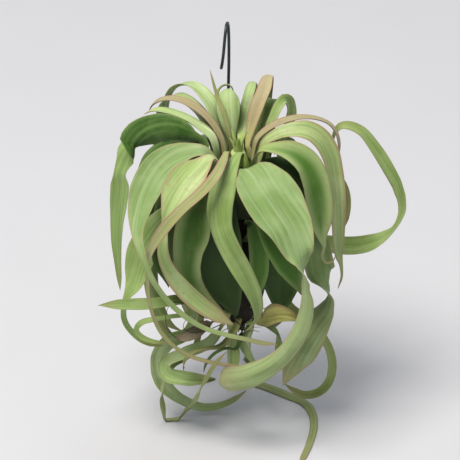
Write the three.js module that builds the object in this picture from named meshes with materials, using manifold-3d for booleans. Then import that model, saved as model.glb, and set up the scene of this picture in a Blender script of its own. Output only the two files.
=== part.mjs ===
// A curly-leaved air plant: a rosette of channelled ribbon leaves round a short swollen stem,
// with a dark wire hanger. It rests on a surface on its lowest curls and its trailing leaf.
// Millimetres, +Z up. The rosette opens upwards, and its front faces -Y.
import * as THREE from "three";
import { mergeVertices } from "three/addons/utils/BufferGeometryUtils.js";
import Module from "manifold-3d";

const wasm = await Module();
wasm.setup();

// ---------------------------------------------------------------- driving dimensions

// Leaves are drawn in a front view that looks down on the rosette by this angle. Each point is
// [across to the right, up in that view, back from the stem's axis, width of the blade there],
// with the stem's foot at 0.
const VIEW_TILT = THREE.MathUtils.degToRad(30);

const FLOOR_Z = -48; // height of the surface, measured from the stem's foot
const FLOOR_SINK = 0.1; // what the surface flattens off a blade that lies on it
const FLOOR_SIZE = 300; // the block that stands for the surface
const FLOOR_DEPTH = 20;
const SEAT_GAP = 0.35; // clearance between a leaf's root and the stem
const LEAF_THICKNESS = 0.8;
const POINT_DIVISIONS = 20; // how finely the length is measured between two points of a path
const CHANNEL_DEPTH = 0.16; // how far the edges stand above the midline, as a share of the width
const ROOT_CHANNEL = 0.12; // the same at the root, where the blade clasps the stem
const STEP_LENGTH = 9; // length of leaf between two cross-sections
const LEAST_STEPS = 9;
const MOST_STEPS = 17;

const ARCH_RADIUS = 25; // the ring that the blades arch over
const ARCH_Z = 60;
const ROOT_WIDTH = 5;
const ROOT_RISE = 5; // how far up the root clings to the stem
const ROOT_LEAN = 2; // and how far it has left it by then

const STEM_SIDES = 20;
// The stem's outline as [radius, height] from its cut foot to its crown.
const STEM_OUTLINE = [
  [0, 0], [3.2, 0], [6.5, 4], [10.5, 12], [12.8, 22], [13.2, 32], [12.2, 44],
  [10.2, 56], [8.4, 66], [6.6, 76], [5, 84], [3, 90], [0, 91],
];

const HEART_Z = 60; // the heart's green sheaths start here
const HEART_TOP_Z = 90;
const YOUNG_LEAVES = 5;
const YOUNG_TURN = 137.5; // degrees from one young leaf to the next
const YOUNG_LENGTH = 11; // the outermost one's length above the heart
const YOUNG_SHRINK = 0.08; // and how much of it each next one is shorter
const YOUNG_ROOT_DEPTH = 5; // how deep its root is sunk
const YOUNG_ROOT_RADIUS = 1.6;
const YOUNG_MIDDLE_RADIUS = 1.9;
const YOUNG_TIP_RADIUS = 3;
const YOUNG_TIP_LEAN = 0.12; // further lean of the tip, as a share of the length
const YOUNG_WIDTHS = [[0, 2.4], [0.4, 2.8], [1, 1]];
const YOUNG_STEPS = 5;

const WIRE_RADIUS = 0.7;
const WIRE_SIDES = 8;
const WIRE_STEPS = 40;
// The wire's middle as [across, back, up], from the stem up to the hook's end.
const WIRE_ROUTE = [
  [-1.4, 13.6, 40], [-2.4, 21, 52], [-3.4, 29, 70], [-4.3, 33, 88], [-4.3, 34, 104],
  [-4.1, 34, 118], [-4.2, 33.5, 132], [-4.6, 30.5, 138.4], [-5.2, 26, 139.6],
  [-5.9, 22.4, 135], [-6.6, 21.4, 127], [-7.4, 22.6, 120.4], [-7.6, 25, 118.6],
];

// The leaves hidden at the back: tiers by the height of their seats, the top of their arch, how
// far out they fall and where they end, each with the azimuths of its leaves.
const BACK_SEED = 7;
const BACK_WIDTH = 10;
const BACK_TIERS = [
  { seat: 57, top: 84, reach: 49, end: -22, azimuths: [58, 86, 115, 143] },
  { seat: 46, top: 68, reach: 42, end: -9, azimuths: [60, 128, 152] },
  { seat: 35, top: 52, reach: 35, end: 3, azimuths: [42, 70, 118, 146] },
];
// How much one of them differs from the next at most.
const BACK_VARIES = { reach: 3, drift: 6, end: 12, width: 2.5 };
const BACK_START = { out: 6, up: 14, share: 0.5 }; // its first bend, from its seat
// Its way from there, as [share of its reach, share of its top's height, share of its end's
// height, rise added, share of its sideways drift, share of its width].
const BACK_WAY = [
  [0.52, 1, 0, 0, 0.2, 0.75], [0.8, 1, 0, -5, 0.5, 1], [1, 0.54, 0.54, 0, 0.8, 0.85],
  [0.98, 0, 1, 16, 1, 0.6], [0.84, 0, 1, 3, 1.3, 0.4], [0.66, 0, 1, 0, 1.6, 0.12],
];

// ---------------------------------------------------------------- materials

const paint = (color, roughness, metalness = 0) => (
  new THREE.MeshStandardMaterial({ color, roughness, metalness })
);
const PALE = paint("#a9c48a", 0.7);
const BLUSHED = paint("#a6bd88", 0.7); // pale, with a pink-brown margin
const SILVERY = paint("#9eb884", 0.72);
const MID = paint("#84a868", 0.68);
const CHANNELLED = paint("#6f9450", 0.66);
const TURNED = paint("#5f8a35", 0.62); // shows its darker under side
const DEEP = paint("#4f7a2c", 0.62);
const SHADE = paint("#2f4a1a", 0.65);
const OLIVE = paint("#a8a458", 0.7);
const GREEN_OLIVE = paint("#8f9a55", 0.68);
const SHEATH = paint("#b0a860", 0.66);
const CURL = paint("#9a9c66", 0.7);
const PINK_TAN = paint("#b59a80", 0.72);
const DRY = paint("#a89c86", 0.85);
const BARK = paint("#4a3524", 0.9);
const HEART = paint("#b9cf86", 0.65);
const WIRE = paint("#2b2f33", 0.4, 0.6);

// ---------------------------------------------------------------- small helpers

// A point of the slanted front view, in the plant's own frame.
function fromView([across, up, back]) {
  const height = (up - back * Math.sin(VIEW_TILT)) / Math.cos(VIEW_TILT);
  return new THREE.Vector3(across, back, height);
}

// The stem's radius at a height, read off its outline.
function stemRadius(height) {
  for (let i = 1; i < STEM_OUTLINE.length; i += 1) {
    const [r0, z0] = STEM_OUTLINE[i - 1];
    const [r1, z1] = STEM_OUTLINE[i];
    if (height <= z1 && z1 > z0) {
      return r0 + ((r1 - r0) * (height - z0)) / (z1 - z0);
    }
  }
  return 0;
}

// A point of the plant's own frame, as a point of the front view with the blade's width there.
function toView({ x, y, z }, width) {
  return [x, z * Math.cos(VIEW_TILT) + y * Math.sin(VIEW_TILT), y, width];
}

// A point of the front view where the blade lies on the surface.
function onFloor(across, back, width) {
  const height = FLOOR_Z + LEAF_THICKNESS / 2 - FLOOR_SINK;
  return toView(new THREE.Vector3(across, back, height), width);
}

// A point at a radius, azimuth and height round the stem's axis.
function around(radius, azimuthDegrees, height) {
  const azimuth = THREE.MathUtils.degToRad(azimuthDegrees);
  return new THREE.Vector3(radius * Math.cos(azimuth), radius * Math.sin(azimuth), height);
}

function onStem(azimuthDegrees, height, clearance) {
  return around(stemRadius(height) + clearance, azimuthDegrees, height);
}

// The slope at one of a list's [share, value] pairs: none at a peak, so that nothing overshoots.
function slopeAt(pairs, i) {
  if (i === 0 || i === pairs.length - 1) {
    return 0;
  }
  const [before, here, after] = [pairs[i - 1], pairs[i], pairs[i + 1]];
  const left = (here[1] - before[1]) / (here[0] - before[0]);
  const right = (after[1] - here[1]) / (after[0] - here[0]);
  return left * right > 0 ? (2 * left * right) / (left + right) : 0;
}

// Reads a list of [share of the length, value] pairs along a smooth line through them.
function readAt(pairs, share) {
  if (share <= pairs[0][0]) {
    return pairs[0][1];
  }
  for (let i = 1; i < pairs.length; i += 1) {
    const [s0, v0] = pairs[i - 1];
    const [s1, v1] = pairs[i];
    if (share <= s1) {
      const span = s1 - s0;
      const t = (share - s0) / span;
      const ease = t * t * (3 - 2 * t);
      const leave = t * (1 - t) * (1 - t) * span * slopeAt(pairs, i - 1);
      const arrive = t * t * (1 - t) * span * slopeAt(pairs, i);
      return v0 + (v1 - v0) * ease + leave - arrive;
    }
  }
  return pairs[pairs.length - 1][1];
}

function solidGeometry(positions, triangles) {
  const geometry = new THREE.BufferGeometry();
  geometry.setAttribute("position", new THREE.Float32BufferAttribute(positions, 3));
  geometry.setIndex(triangles);
  geometry.computeVertexNormals();
  return geometry;
}

// ---------------------------------------------------------------- leaves

// Where the blade's upper side looks. Every blade arches over a ring round the stem, so by itself
// its upper side looks away from the nearest point of that ring: to the stem at the root, up on
// top of the arch, outwards on the fall. "looks" turns it, as [share of the length, [across, up,
// near]] in the front view.
function lookAt(leaf, share, point) {
  const radius = Math.max(Math.hypot(point.x, point.y), 1);
  const scale = ARCH_RADIUS / radius;
  const away = new THREE.Vector3(point.x * (1 - scale), point.y * (1 - scale), point.z - ARCH_Z);
  away.normalize();
  if (!leaf.looks) {
    return away;
  }
  let before = [0, away];
  for (const [at, [across, up, near]] of leaf.looks) {
    const look = new THREE.Vector3(
      across,
      up * Math.sin(VIEW_TILT) - near * Math.cos(VIEW_TILT),
      up * Math.cos(VIEW_TILT) + near * Math.sin(VIEW_TILT),
    );
    if (share <= at) {
      const t = at > before[0] ? (share - before[0]) / (at - before[0]) : 1;
      return before[1].clone().lerp(look, t);
    }
    before = [at, look];
  }
  return before[1];
}

function leafFrames(leaf, curve, steps) {
  const frames = [];
  for (let i = 0; i <= steps; i += 1) {
    const share = i / steps;
    const point = curve.getPointAt(share);
    const tangent = curve.getTangentAt(share);
    const face = lookAt(leaf, share, point).clone();
    face.addScaledVector(tangent, -face.dot(tangent)).normalize();
    const side = new THREE.Vector3().crossVectors(tangent, face);
    frames.push({ share, point, tangent, face, side });
  }
  return frames;
}

// The blade: six corners a step (left edge, midline, right edge, above and below), so that its
// two faces are split into triangles alike and the thickness holds along every bend.
function bladeGeometry(frames, widths, thickness, channels) {
  const positions = [];
  const triangles = [];
  frames.forEach(({ share, point, face, side }) => {
    const half = readAt(widths, share) / 2;
    const lift = half * 2 * readAt(channels, share);
    [1, -1].forEach((top) => {
      [-1, 0, 1].forEach((edge) => {
        const corner = point.clone().addScaledVector(side, edge * half);
        const rise = Math.abs(edge) * lift - lift / 2 + (top * thickness) / 2;
        corner.addScaledVector(face, rise);
        positions.push(corner.x, corner.y, corner.z);
      });
    });
  });
  // Ring corners 0-2 lie on the upper face and 3-5 on the lower one.
  const ring = [0, 1, 2, 5, 4, 3];
  const steps = frames.length - 1;
  for (let i = 0; i < steps; i += 1) {
    const here = i * 6;
    const next = here + 6;
    ring.forEach((corner, k) => {
      const other = ring[(k + 1) % 6];
      const [a, b, c, d] = [here + corner, here + other, next + other, next + corner];
      const below = k === 3 || k === 4;
      if (below) {
        triangles.push(a, b, d, b, c, d);
      } else {
        triangles.push(a, b, c, a, c, d);
      }
    });
  }
  const last = steps * 6;
  triangles.push(0, 3, 4, 0, 4, 1, 1, 4, 5, 1, 5, 2);
  [[0, 4, 3], [0, 1, 4], [1, 5, 4], [1, 2, 5]].forEach((cap) => {
    triangles.push(...cap.map((corner) => last + corner));
  });
  return solidGeometry(positions, triangles);
}

function leafCurve(leaf) {
  const [azimuth, height] = leaf.seat;
  const edgeRise = ((leaf.seatWidth ?? ROOT_WIDTH) * ROOT_CHANNEL) / 2;
  const clearance = SEAT_GAP + LEAF_THICKNESS / 2 + edgeRise;
  const points = [
    onStem(azimuth, height, clearance),
    onStem(azimuth, height + (leaf.rise ?? ROOT_RISE), clearance + ROOT_LEAN),
    ...leaf.path.map(fromView),
  ];
  return new THREE.CatmullRomCurve3(points, false, "centripetal");
}

// The blade's width along its length: its root's, and then what the path's points say.
function leafWidths(leaf, curve) {
  const lengths = curve.getLengths((curve.points.length - 1) * POINT_DIVISIONS);
  const whole = lengths[lengths.length - 1];
  const seatPoints = curve.points.length - leaf.path.length;
  const widths = leaf.path.map(([, , , width], i) => (
    [lengths[(i + seatPoints) * POINT_DIVISIONS] / whole, width]
  ));
  return [[0, leaf.seatWidth ?? ROOT_WIDTH], ...widths];
}

function leafGeometry(leaf) {
  const curve = leafCurve(leaf);
  const wanted = Math.round(curve.getLength() / STEP_LENGTH);
  const steps = leaf.steps ?? THREE.MathUtils.clamp(wanted, LEAST_STEPS, MOST_STEPS);
  const frames = leafFrames(leaf, curve, steps);
  const channels = leaf.channels ?? [[0, ROOT_CHANNEL], [0.2, CHANNEL_DEPTH], [1, CHANNEL_DEPTH]];
  return bladeGeometry(frames, leafWidths(leaf, curve), LEAF_THICKNESS, channels);
}

// The leaves that the front view shows, from the crown outwards. seat is [azimuth in degrees,
// height on the stem], and seatWidth the root's width there.
const LEAVES = [
  // back and top of the rosette
  {
    name: "leaf_back_center", material: PALE, seat: [100, 78],
    path: [[-2.7, 83.2, 8.5, 4.5], [-3.8, 91.4, 11, 8.6], [-4.3, 98.5, 14.5, 10.8],
      [-4.3, 103.5, 18.5, 10.8], [-4, 105.1, 22.5, 9], [-4, 102.6, 26, 5.9]],
    channels: [[0, 0.12], [0.35, -0.12], [1, -0.2]],
  },
  {
    name: "leaf_back_folded", material: OLIVE, seat: [122, 85], seatWidth: 2.4,
    path: [[-4, 84.6, 5.5, 2.2], [-6.3, 94.5, 9, 2.5], [-9.5, 103, 13, 1.8],
      [-12.6, 114.3, 16, 0.7]],
  },
  {
    name: "leaf_back_light", material: PALE, seat: [78, 84], seatWidth: 3.4,
    path: [[1.1, 82.8, 8.2, 2.7], [1.9, 89.5, 15.4, 5.4], [3.5, 98.1, 19.8, 5.6],
      [5.2, 104.9, 23, 5.2], [6.5, 108.9, 30, 4], [7.2, 104.9, 40, 4], [7.2, 94.5, 48, 4],
      [6.3, 81, 52, 3.1], [5.4, 67.5, 52, 1.4]],
    channels: [[0, 0.12], [0.25, 0.12], [0.4, -0.14], [1, -0.14]],
  },
  {
    name: "leaf_back_pink", material: PINK_TAN, seat: [42, 83], seatWidth: 3.6,
    path: [[4.3, 80.5, 5.8, 2.7], [5.7, 87.8, 9, 4.5], [8.5, 97.7, 13, 6.5],
      [11.5, 105.8, 18, 6.8], [13.1, 111.4, 24, 5.4], [13.5, 109.4, 32, 5], [13.1, 102.2, 40, 4.5],
      [12.2, 90, 46, 3.6], [10.8, 76.5, 48, 1.4]],
    channels: [[0, 0.12], [0.25, 0.12], [0.42, -0.14], [1, -0.14]],
  },
  {
    name: "leaf_back_green", material: MID, seat: [40, 73],
    path: [[7.5, 84.2, 14.4, 2.5], [10.9, 92.2, 18, 4.5], [14.2, 98.5, 21, 4.5],
      [15.8, 101.7, 27, 4.5], [16, 99.5, 33.5, 4.5], [15.3, 92.2, 38.5, 4], [14.4, 81, 41, 3.1],
      [13.5, 69.8, 42, 1.4]],
  },
  {
    name: "leaf_back_right_bend", material: MID, seat: [18, 67],
    looks: [[0.3, [-0.3, 0.5, 0.8]], [0.5, [0.2, 0.6, 0.8]], [0.7, [0.6, 0.2, 0.8]],
      [1, [0.6, 0, 0.8]]],
    path: [[12.2, 83.2, 7, 3.6], [15.1, 91.4, 11, 4.3], [18.2, 98.5, 15, 4.3],
      [20.9, 101.5, 19, 4.7], [23.2, 99.5, 21.4, 5.9], [23.6, 94, 22.2, 5.9],
      [21.6, 87.8, 21.6, 4.7], [18.4, 81.5, 19.6, 3.1], [16.2, 76.5, 18, 1.4]],
  },
  {
    name: "leaf_back_left_arch", material: PALE, seat: [138, 75],
    path: [[-6.5, 82.4, 10, 4], [-9, 91.4, 13, 6.3], [-12.6, 99.9, 18, 6.8],
      [-17.1, 105.5, 23, 6.3], [-22.5, 108.5, 28, 5.6], [-27.9, 107.5, 33, 5.2],
      [-31.5, 103, 38, 5], [-33.3, 93.2, 42, 4.5], [-33.3, 78.8, 43, 3.6], [-31.5, 63, 43, 1.4]],
  },
  {
    name: "leaf_back_curl", material: MID, seat: [112, 66], seatWidth: 3.4, steps: 16,
    path: [[-5.4, 78.8, 14, 3.1], [-7.7, 89.5, 20, 3.1], [-9.2, 98.5, 26, 2.7],
      [-9.5, 104, 30, 2.2], [-7.7, 107.3, 31.5, 1.8], [-4.7, 108.2, 31.2, 1.4],
      [-2.5, 106.7, 30.8, 1.4], [-2, 104, 30.8, 0.8]],
  },
  {
    name: "leaf_left_pale", material: PALE, seat: [154, 70],
    path: [[-12.8, 86, 7.4, 4.5], [-16.2, 94.5, 15, 6.8], [-21.6, 99.9, 21, 6.8],
      [-27.4, 102.6, 27, 6.3], [-31.9, 101.2, 31, 5.6], [-35.1, 95, 34, 5], [-36.9, 83.2, 35.5, 4],
      [-36.9, 67.5, 35, 1.4]],
  },
  {
    name: "leaf_left_pink", material: PINK_TAN, seat: [160, 83], seatWidth: 2.8,
    looks: [[0.3, [0.3, 0.6, 0.75]], [0.7, [-0.1, 0.85, 0.5]], [1, [-0.6, 0.6, 0.4]]],
    path: [[-7.2, 82.8, 4, 3.1], [-11.2, 90, 7, 4.3], [-16.7, 95.9, 10, 4.5],
      [-22.9, 99.7, 13, 4.3], [-29.2, 101.5, 15, 4], [-34.6, 101, 16.5, 3.6],
      [-38.2, 99, 17.5, 2.7], [-40.1, 95.9, 18, 1.1]],
  },
  {
    name: "leaf_left_green", material: PALE, seat: [176, 77],
    looks: [[0.3, [0.4, 0.6, 0.7]], [0.6, [-0.1, 0.9, 0.4]], [1, [-0.5, 0.8, 0.2]]],
    path: [[-11.7, 84.2, 2.5, 4.5], [-17.1, 88.9, 5.5, 6.8], [-23.4, 92.9, 8, 7.2],
      [-29.7, 95.4, 10.5, 6.3], [-35.1, 96.5, 12, 5], [-39.1, 96.1, 13, 3.1],
      [-41.9, 94.5, 13.5, 1.1]],
  },
  {
    name: "leaf_far_left", material: TURNED, seat: [188, 68], steps: 27,
    looks: [[0.14, [0, 0.8, 0.5]], [0.22, [-0.3, 0.9, -0.2]], [0.32, [-0.35, 0.35, -0.85]],
      [0.44, [-0.4, 0.1, -0.9]], [0.465, [-1, 0, -0.1]], [0.495, [-0.5, 0, 0.9]],
      [1, [-0.3, 0, 0.95]]],
    path: [[-15.8, 81.9, 1.5, 5.9], [-22.1, 85, 2, 9], [-29.2, 87.8, 2.2, 12.6],
      [-36.9, 87.5, 3, 15.3], [-43.4, 84.2, 4.5, 16.7], [-48.4, 78.5, 5.5, 14],
      [-51.5, 72.2, 5.5, 7.7], [-52.9, 68, 4.5, 5.9], [-52.7, 62.6, 4, 9], [-53.3, 55.4, 3.5, 9],
      [-54.3, 46.4, 3, 7.2], [-54.7, 37.4, 2.5, 5], [-54.2, 28.4, 1.5, 3.4],
      [-53.6, 20.2, 0.5, 2.5], [-53.3, 15.3, 0, 1.8]],
  },
  {
    name: "leaf_left_behind", material: DEEP, seat: [164, 62],
    looks: [[0.2, [0.1, 0.7, 0.6]], [0.5, [-0.2, 0.7, 0.65]], [1, [-0.5, 0.1, 0.8]]],
    path: [[-17.1, 81, 8, 5.4], [-24.3, 83.7, 12, 6.8], [-31.9, 81.9, 15.5, 7.2],
      [-38.2, 77.9, 18, 6.3], [-42.8, 71.5, 19.5, 5.4], [-44.6, 60.8, 19.5, 4.5],
      [-44.6, 46.4, 18, 3.6], [-42.8, 31.5, 14, 1.4]],
  },
  // right of the rosette
  {
    name: "leaf_right_pink", material: PINK_TAN, seat: [2, 83], seatWidth: 3,
    looks: [[0.3, [-0.3, 0.7, 0.65]], [0.7, [0, 0.85, 0.5]], [1, [0.8, 0.3, 0.4]]],
    path: [[8.6, 83.7, 2.5, 3.6], [14.4, 88.7, 6, 4], [21.2, 91.8, 8, 4], [28.4, 93.2, 9, 3.8],
      [35.1, 92.7, 9, 3.6], [40.5, 90.5, 8.5, 3.1], [43.9, 86.4, 8, 2.7], [45.2, 81, 7, 2.2],
      [45, 74.2, 6, 0.9]],
  },
  {
    name: "leaf_right_outer", material: BLUSHED, seat: [-10, 76], steps: 18,
    looks: [[0.15, [-0.3, 0.6, 0.75]], [0.35, [0.1, 0.35, 0.93]], [0.55, [0.35, 0.1, 0.93]],
      [1, [0.3, 0, 0.95]]],
    path: [[11.7, 81.5, -0.5, 4.5], [17.6, 85.5, -0.8, 6.8], [24.3, 87.3, -2, 8.1],
      [31.1, 86.9, -3, 9], [36.9, 83.2, -4.2, 9], [41, 76.5, -5.2, 9], [43, 68, -6, 8.8],
      [44.1, 59, -6.4, 8.1], [44.8, 49.1, -6.6, 7.2], [45, 39.1, -6.4, 6.3], [45.2, 31.9, -5, 4],
      [46.4, 27, -4.5, 1.8], [46.8, 21.6, -4, 1.1], [45, 15.8, -3, 0.9]],
  },
  {
    name: "leaf_right_inner", material: CHANNELLED, seat: [-44, 79], steps: 24,
    looks: [[0.2, [-0.3, 0.7, 0.6]], [0.4, [0.1, 0.5, 0.85]], [0.58, [0.2, 0.1, 0.95]],
      [1, [0.2, 0, 0.95]]],
    path: [[9.9, 78.3, -9, 5.4], [16.7, 78.8, -12.5, 7.7], [23.9, 77, -16, 10.3],
      [30.2, 72.2, -18.5, 12.2], [33.8, 64.8, -20, 13.1], [35.6, 55.4, -20.5, 12.6],
      [36.7, 46.8, -20.5, 9.9], [37.4, 40.1, -20, 5], [38.5, 35.1, -19.4, 1.8],
      [37.6, 31.1, -19, 1.4], [39.4, 28.1, -18.6, 1.4], [42.3, 28.6, -18.2, 1.4],
      [43.6, 31.5, -17.8, 0.9]],
    channels: [[0, 0.12], [0.3, 0.26], [1, 0.2]],
  },
  {
    name: "leaf_right_shaded", material: SHADE, seat: [-12, 60],
    looks: [[0.3, [0, 0.5, 0.85]], [1, [0.15, 0.1, 0.95]]],
    path: [[12.6, 71.1, -6.5, 5.9], [18, 70.7, -10, 10.8], [23.4, 67.5, -13, 13.5],
      [27, 61.2, -15.4, 14.4], [28.6, 52.6, -16.8, 12.6], [28.8, 44.6, -17.2, 8.1],
      [28.8, 38.2, -17.2, 2.2]],
  },
  {
    name: "leaf_right_loop", material: MID, seat: [4, 54], steps: 22,
    looks: [[0.2, [0, 0.4, 0.9]], [0.4, [0, 0.2, 0.95]], [0.5, [-0.6, 0.5, 0.6]],
      [0.85, [-0.3, 0.2, 0.9]], [1, [-0.5, 0.6, 0.6]]],
    path: [[22.1, 45, 8, 6.3], [34, 38, 12, 8.1], [47, 35.6, 13, 8.3], [57.1, 36.2, 12, 8.1],
      [65.7, 39.4, 11, 6.3], [71.1, 44.1, 10, 3.6], [74.2, 52.2, 9, 5], [72.2, 61.6, 9, 6.1],
      [67.5, 70.7, 10, 5.9], [61.6, 79.7, 11, 5.2], [55.6, 86.9, 12, 4.5], [50, 89.5, 13, 4],
      [45.9, 89.3, 13.5, 3.4], [43.2, 85.7, 14, 2.5], [42.3, 79.2, 14, 1.4]],
  },
  {
    name: "leaf_right_behind", material: OLIVE, seat: [32, 50],
    path: [[20, 58.1, 15, 5.4], [31.1, 66.2, 21, 7.2], [40.1, 68.9, 23, 7.7],
      [45.9, 65.2, 22.5, 7.2], [49.3, 58.1, 21, 6.3], [49.5, 50, 19, 5], [46.4, 40.5, 17, 1.4]],
  },
  // front of the rosette
  {
    name: "leaf_front_wave", material: MID, seat: [-84, 84], seatWidth: 3.6,
    looks: [[0.12, [-0.1, 0.7, 0.7]], [0.35, [-0.3, 0.3, 0.9]], [0.6, [-0.1, 0, 1]],
      [0.85, [0.6, 0, 0.8]], [1, [0.8, 0, 0.5]]],
    path: [[0.5, 77, -8, 4.3], [-4, 69.8, -17, 8.6], [-6.9, 60.8, -24.5, 12.2],
      [-8.3, 51.3, -30, 11.7], [-7.2, 42.8, -33, 10.1], [-3.6, 34.2, -34.5, 9.7],
      [0.9, 26.1, -34.5, 9.2], [5.2, 18, -33.5, 8.1], [8.1, 10.8, -32, 6.5], [8.8, 4.5, -30, 5.4],
      [6.3, -0.5, -28, 4], [3.1, -2.7, -27, 1.8]],
    channels: [[0, 0.12], [0.12, -0.08], [0.45, -0.08], [0.7, 0.16], [1, 0.16]],
  },
  {
    name: "leaf_front_left_curl", material: CURL, seat: [-122, 83], seatWidth: 2.8, steps: 24,
    looks: [[0.1, [-0.1, 0.6, 0.8]], [0.4, [-0.4, 0.2, 0.9]], [0.6, [-0.4, 0.2, 0.9]],
      [0.8, [-0.2, 0.6, 0.8]], [1, [0, 0.7, 0.75]]],
    path: [[-5, 77.4, -11.2, 2.3], [-6.7, 73.1, -19, 4], [-10.3, 66.2, -28, 5],
      [-17.1, 58.5, -35, 5.4], [-24.8, 51.8, -38.6, 5.4], [-31.9, 44.1, -39.8, 5.4],
      [-37.4, 36, -38, 4.5], [-40.1, 28.4, -34.4, 3.1], [-40.3, 20.7, -32, 2.2],
      [-39.8, 12.6, -31, 2], [-38, 4.5, -30.4, 2], [-34.2, -3.6, -30, 2], [-28.8, -9.5, -30, 2],
      [-21.6, -14, -29.4, 2], [-14, -16.4, -29.2, 2], [-5.4, -18, -29.2, 2],
      [4, -18.9, -29.2, 1.4]],
  },
  {
    name: "leaf_front_left_broad", material: SILVERY, seat: [-156, 71], steps: 24,
    looks: [[0.08, [-0.2, 0.7, 0.6]], [0.25, [-0.3, 0.4, 0.9]], [0.4, [-0.5, 0, 0.85]],
      [0.55, [-0.2, 0.2, 0.95]], [1, [0, 0.3, 0.95]]],
    path: [[-14.4, 77.4, -4.6, 5.4], [-21.2, 77.9, -5.6, 9.5], [-28.8, 75.2, -8.4, 13.5],
      [-35.3, 69.5, -12, 15.8], [-40.3, 61.2, -16.8, 16.2], [-43.4, 51.8, -22.6, 12.6],
      [-44.6, 41.9, -29.6, 5.9], [-42.5, 31.9, -36.8, 3.4], [-38.7, 22.1, -40.4, 2.7],
      [-32.9, 13.1, -40.6, 2.5], [-25.2, 5.4, -40.4, 2.5], [-15.8, -0.7, -39.6, 2.2],
      [-5.9, -4, -38, 2.2], [4, -6.3, -36, 2.1], [10.8, -7.9, -34, 2.1], [18.4, -8.6, -32, 1.2]],
  },
  {
    name: "leaf_front_left_pale", material: BLUSHED, seat: [-138, 77], steps: 20,
    looks: [[0.08, [0, 0.8, 0.6]], [0.25, [-0.1, 0.3, 0.95]], [0.45, [-0.3, 0.1, 0.9]],
      [1, [-0.1, 0.3, 0.95]]],
    path: [[-11.7, 75.2, -9.5, 4.5], [-17.1, 70.7, -17, 10.3], [-22.7, 65.2, -23, 15.3],
      [-27.4, 58.5, -27, 14], [-30.8, 51.3, -29.4, 7.7], [-32.4, 45, -30, 3.6],
      [-33.1, 38.7, -31, 4.3], [-33.1, 31.9, -31.4, 5.4], [-30.8, 25.2, -31, 6.5],
      [-26.1, 18.2, -30, 7.9], [-19.8, 11.7, -29.2, 8.1], [-12.4, 6.1, -28.4, 6.8],
      [-5.9, 2.2, -27.4, 4.5], [-1.4, 0, -26, 1.8]],
  },
  {
    name: "leaf_front_trough", material: CHANNELLED, seat: [-132, 63],
    looks: [[0.2, [-0.2, 0.2, 0.95]], [1, [0.1, 0, 1]]],
    path: [[-14, 59.4, -14, 6.8], [-18, 50.9, -19, 14], [-20, 41.9, -22, 16.2],
      [-22.1, 33.3, -22.8, 13.5], [-22.5, 25.2, -22.6, 11.7], [-20.7, 17.6, -22.6, 10.8],
      [-15.8, 10.8, -22.2, 9], [-9.2, 5.2, -20, 5.9], [-3.1, 1.8, -16, 2.2]],
    channels: [[0, 0.12], [0.3, 0.24], [1, 0.18]],
  },
  {
    name: "leaf_front_inner_left", material: SHADE, seat: [-100, 65],
    looks: [[0.2, [0, 0.2, 1]], [1, [0, 0, 1]]],
    path: [[-4, 59.9, -13, 5.9], [-6.3, 50.4, -16, 12.6], [-7.7, 39.6, -17.4, 18.9],
      [-7.9, 28.4, -17.4, 20.7], [-5.9, 17.6, -16.4, 18], [-2.2, 9, -15, 10.3],
      [-0.5, 3.1, -13, 4]],
  },
  {
    name: "leaf_front_inner_right", material: DEEP, seat: [-70, 50],
    looks: [[0.2, [0, 0.2, 1]], [1, [0.1, 0, 1]]],
    path: [[5.9, 46.4, -17, 5.4], [7.9, 40.5, -19, 7.7], [9.2, 33.8, -20, 9],
      [9.5, 25.7, -20, 8.6], [8.8, 17.6, -19.4, 5.9], [7.7, 9.9, -18, 1.8]],
  },
  {
    name: "leaf_front_right_under", material: DEEP, seat: [-40, 62],
    looks: [[0.2, [0.1, 0.2, 1]], [1, [0.1, 0, 1]]],
    path: [[9.9, 60.3, -14.4, 6.8], [13.1, 51.8, -22, 13.5], [17.1, 40.1, -27, 15.3],
      [22.1, 28.8, -30, 13.1], [25.7, 20.2, -30.6, 8.1], [28.4, 13.5, -30, 2.2]],
  },
  {
    name: "leaf_front_shaded", material: SHADE, seat: [-44, 44],
    looks: [[0.2, [0.1, 0.2, 1]], [1, [0.1, 0, 1]]],
    path: [[11.7, 40.1, -11, 7.2], [15.8, 34.2, -13.4, 12.2], [18.4, 27, -14.4, 17.1],
      [19.6, 18.4, -14.4, 18.4], [19.6, 10.3, -13.2, 14.4], [19.4, 4, -12, 4]],
  },
  {
    name: "leaf_front_right_broad", material: SILVERY, seat: [-64, 71], steps: 30,
    looks: [[0.08, [-0.05, 0.7, 0.7]], [0.25, [0.2, 0.4, 0.9]], [0.4, [0.3, 0.1, 0.95]],
      [0.455, [1, 0, 0]], [0.51, [0.3, 0, -0.95]], [0.68, [0.2, 0.3, -0.9]],
      [0.88, [-0.1, 0.2, -0.95]], [0.925, [0.9, 0.1, -0.5]], [0.96, [0.6, 0, 0.8]],
      [1, [0, 0, 1]]],
    path: [[3.8, 70.4, -13.4, 8.1], [7.3, 68, -18.8, 18.2], [11, 61.9, -25.4, 25.2],
      [16.4, 53.6, -31.4, 27], [22.5, 44.1, -36.4, 22.1], [25.7, 36, -39.4, 16.7],
      [28.1, 28.4, -41.2, 10.3], [29.5, 21.6, -42, 5.9], [29.9, 16.2, -42, 3.8],
      [30.6, 10.8, -42, 5.6], [29.9, 4.5, -41.6, 7.2], [27.7, -2.2, -41, 7.7],
      [23.9, -9, -40, 7.7], [18.4, -15.3, -39, 8.6], [11.2, -20.2, -38, 9.9],
      [3.1, -23.4, -37, 11.7], [-3.1, -24.3, -36, 11.7], [-7.4, -25, -32.4, 10.3],
      [-7, -25.4, -28, 7.2], [-3.1, -25.4, -25.4, 3.6]],
  },
  // lower right
  {
    name: "leaf_lower_right_broad", material: SILVERY, seat: [-24, 50], steps: 20,
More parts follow.
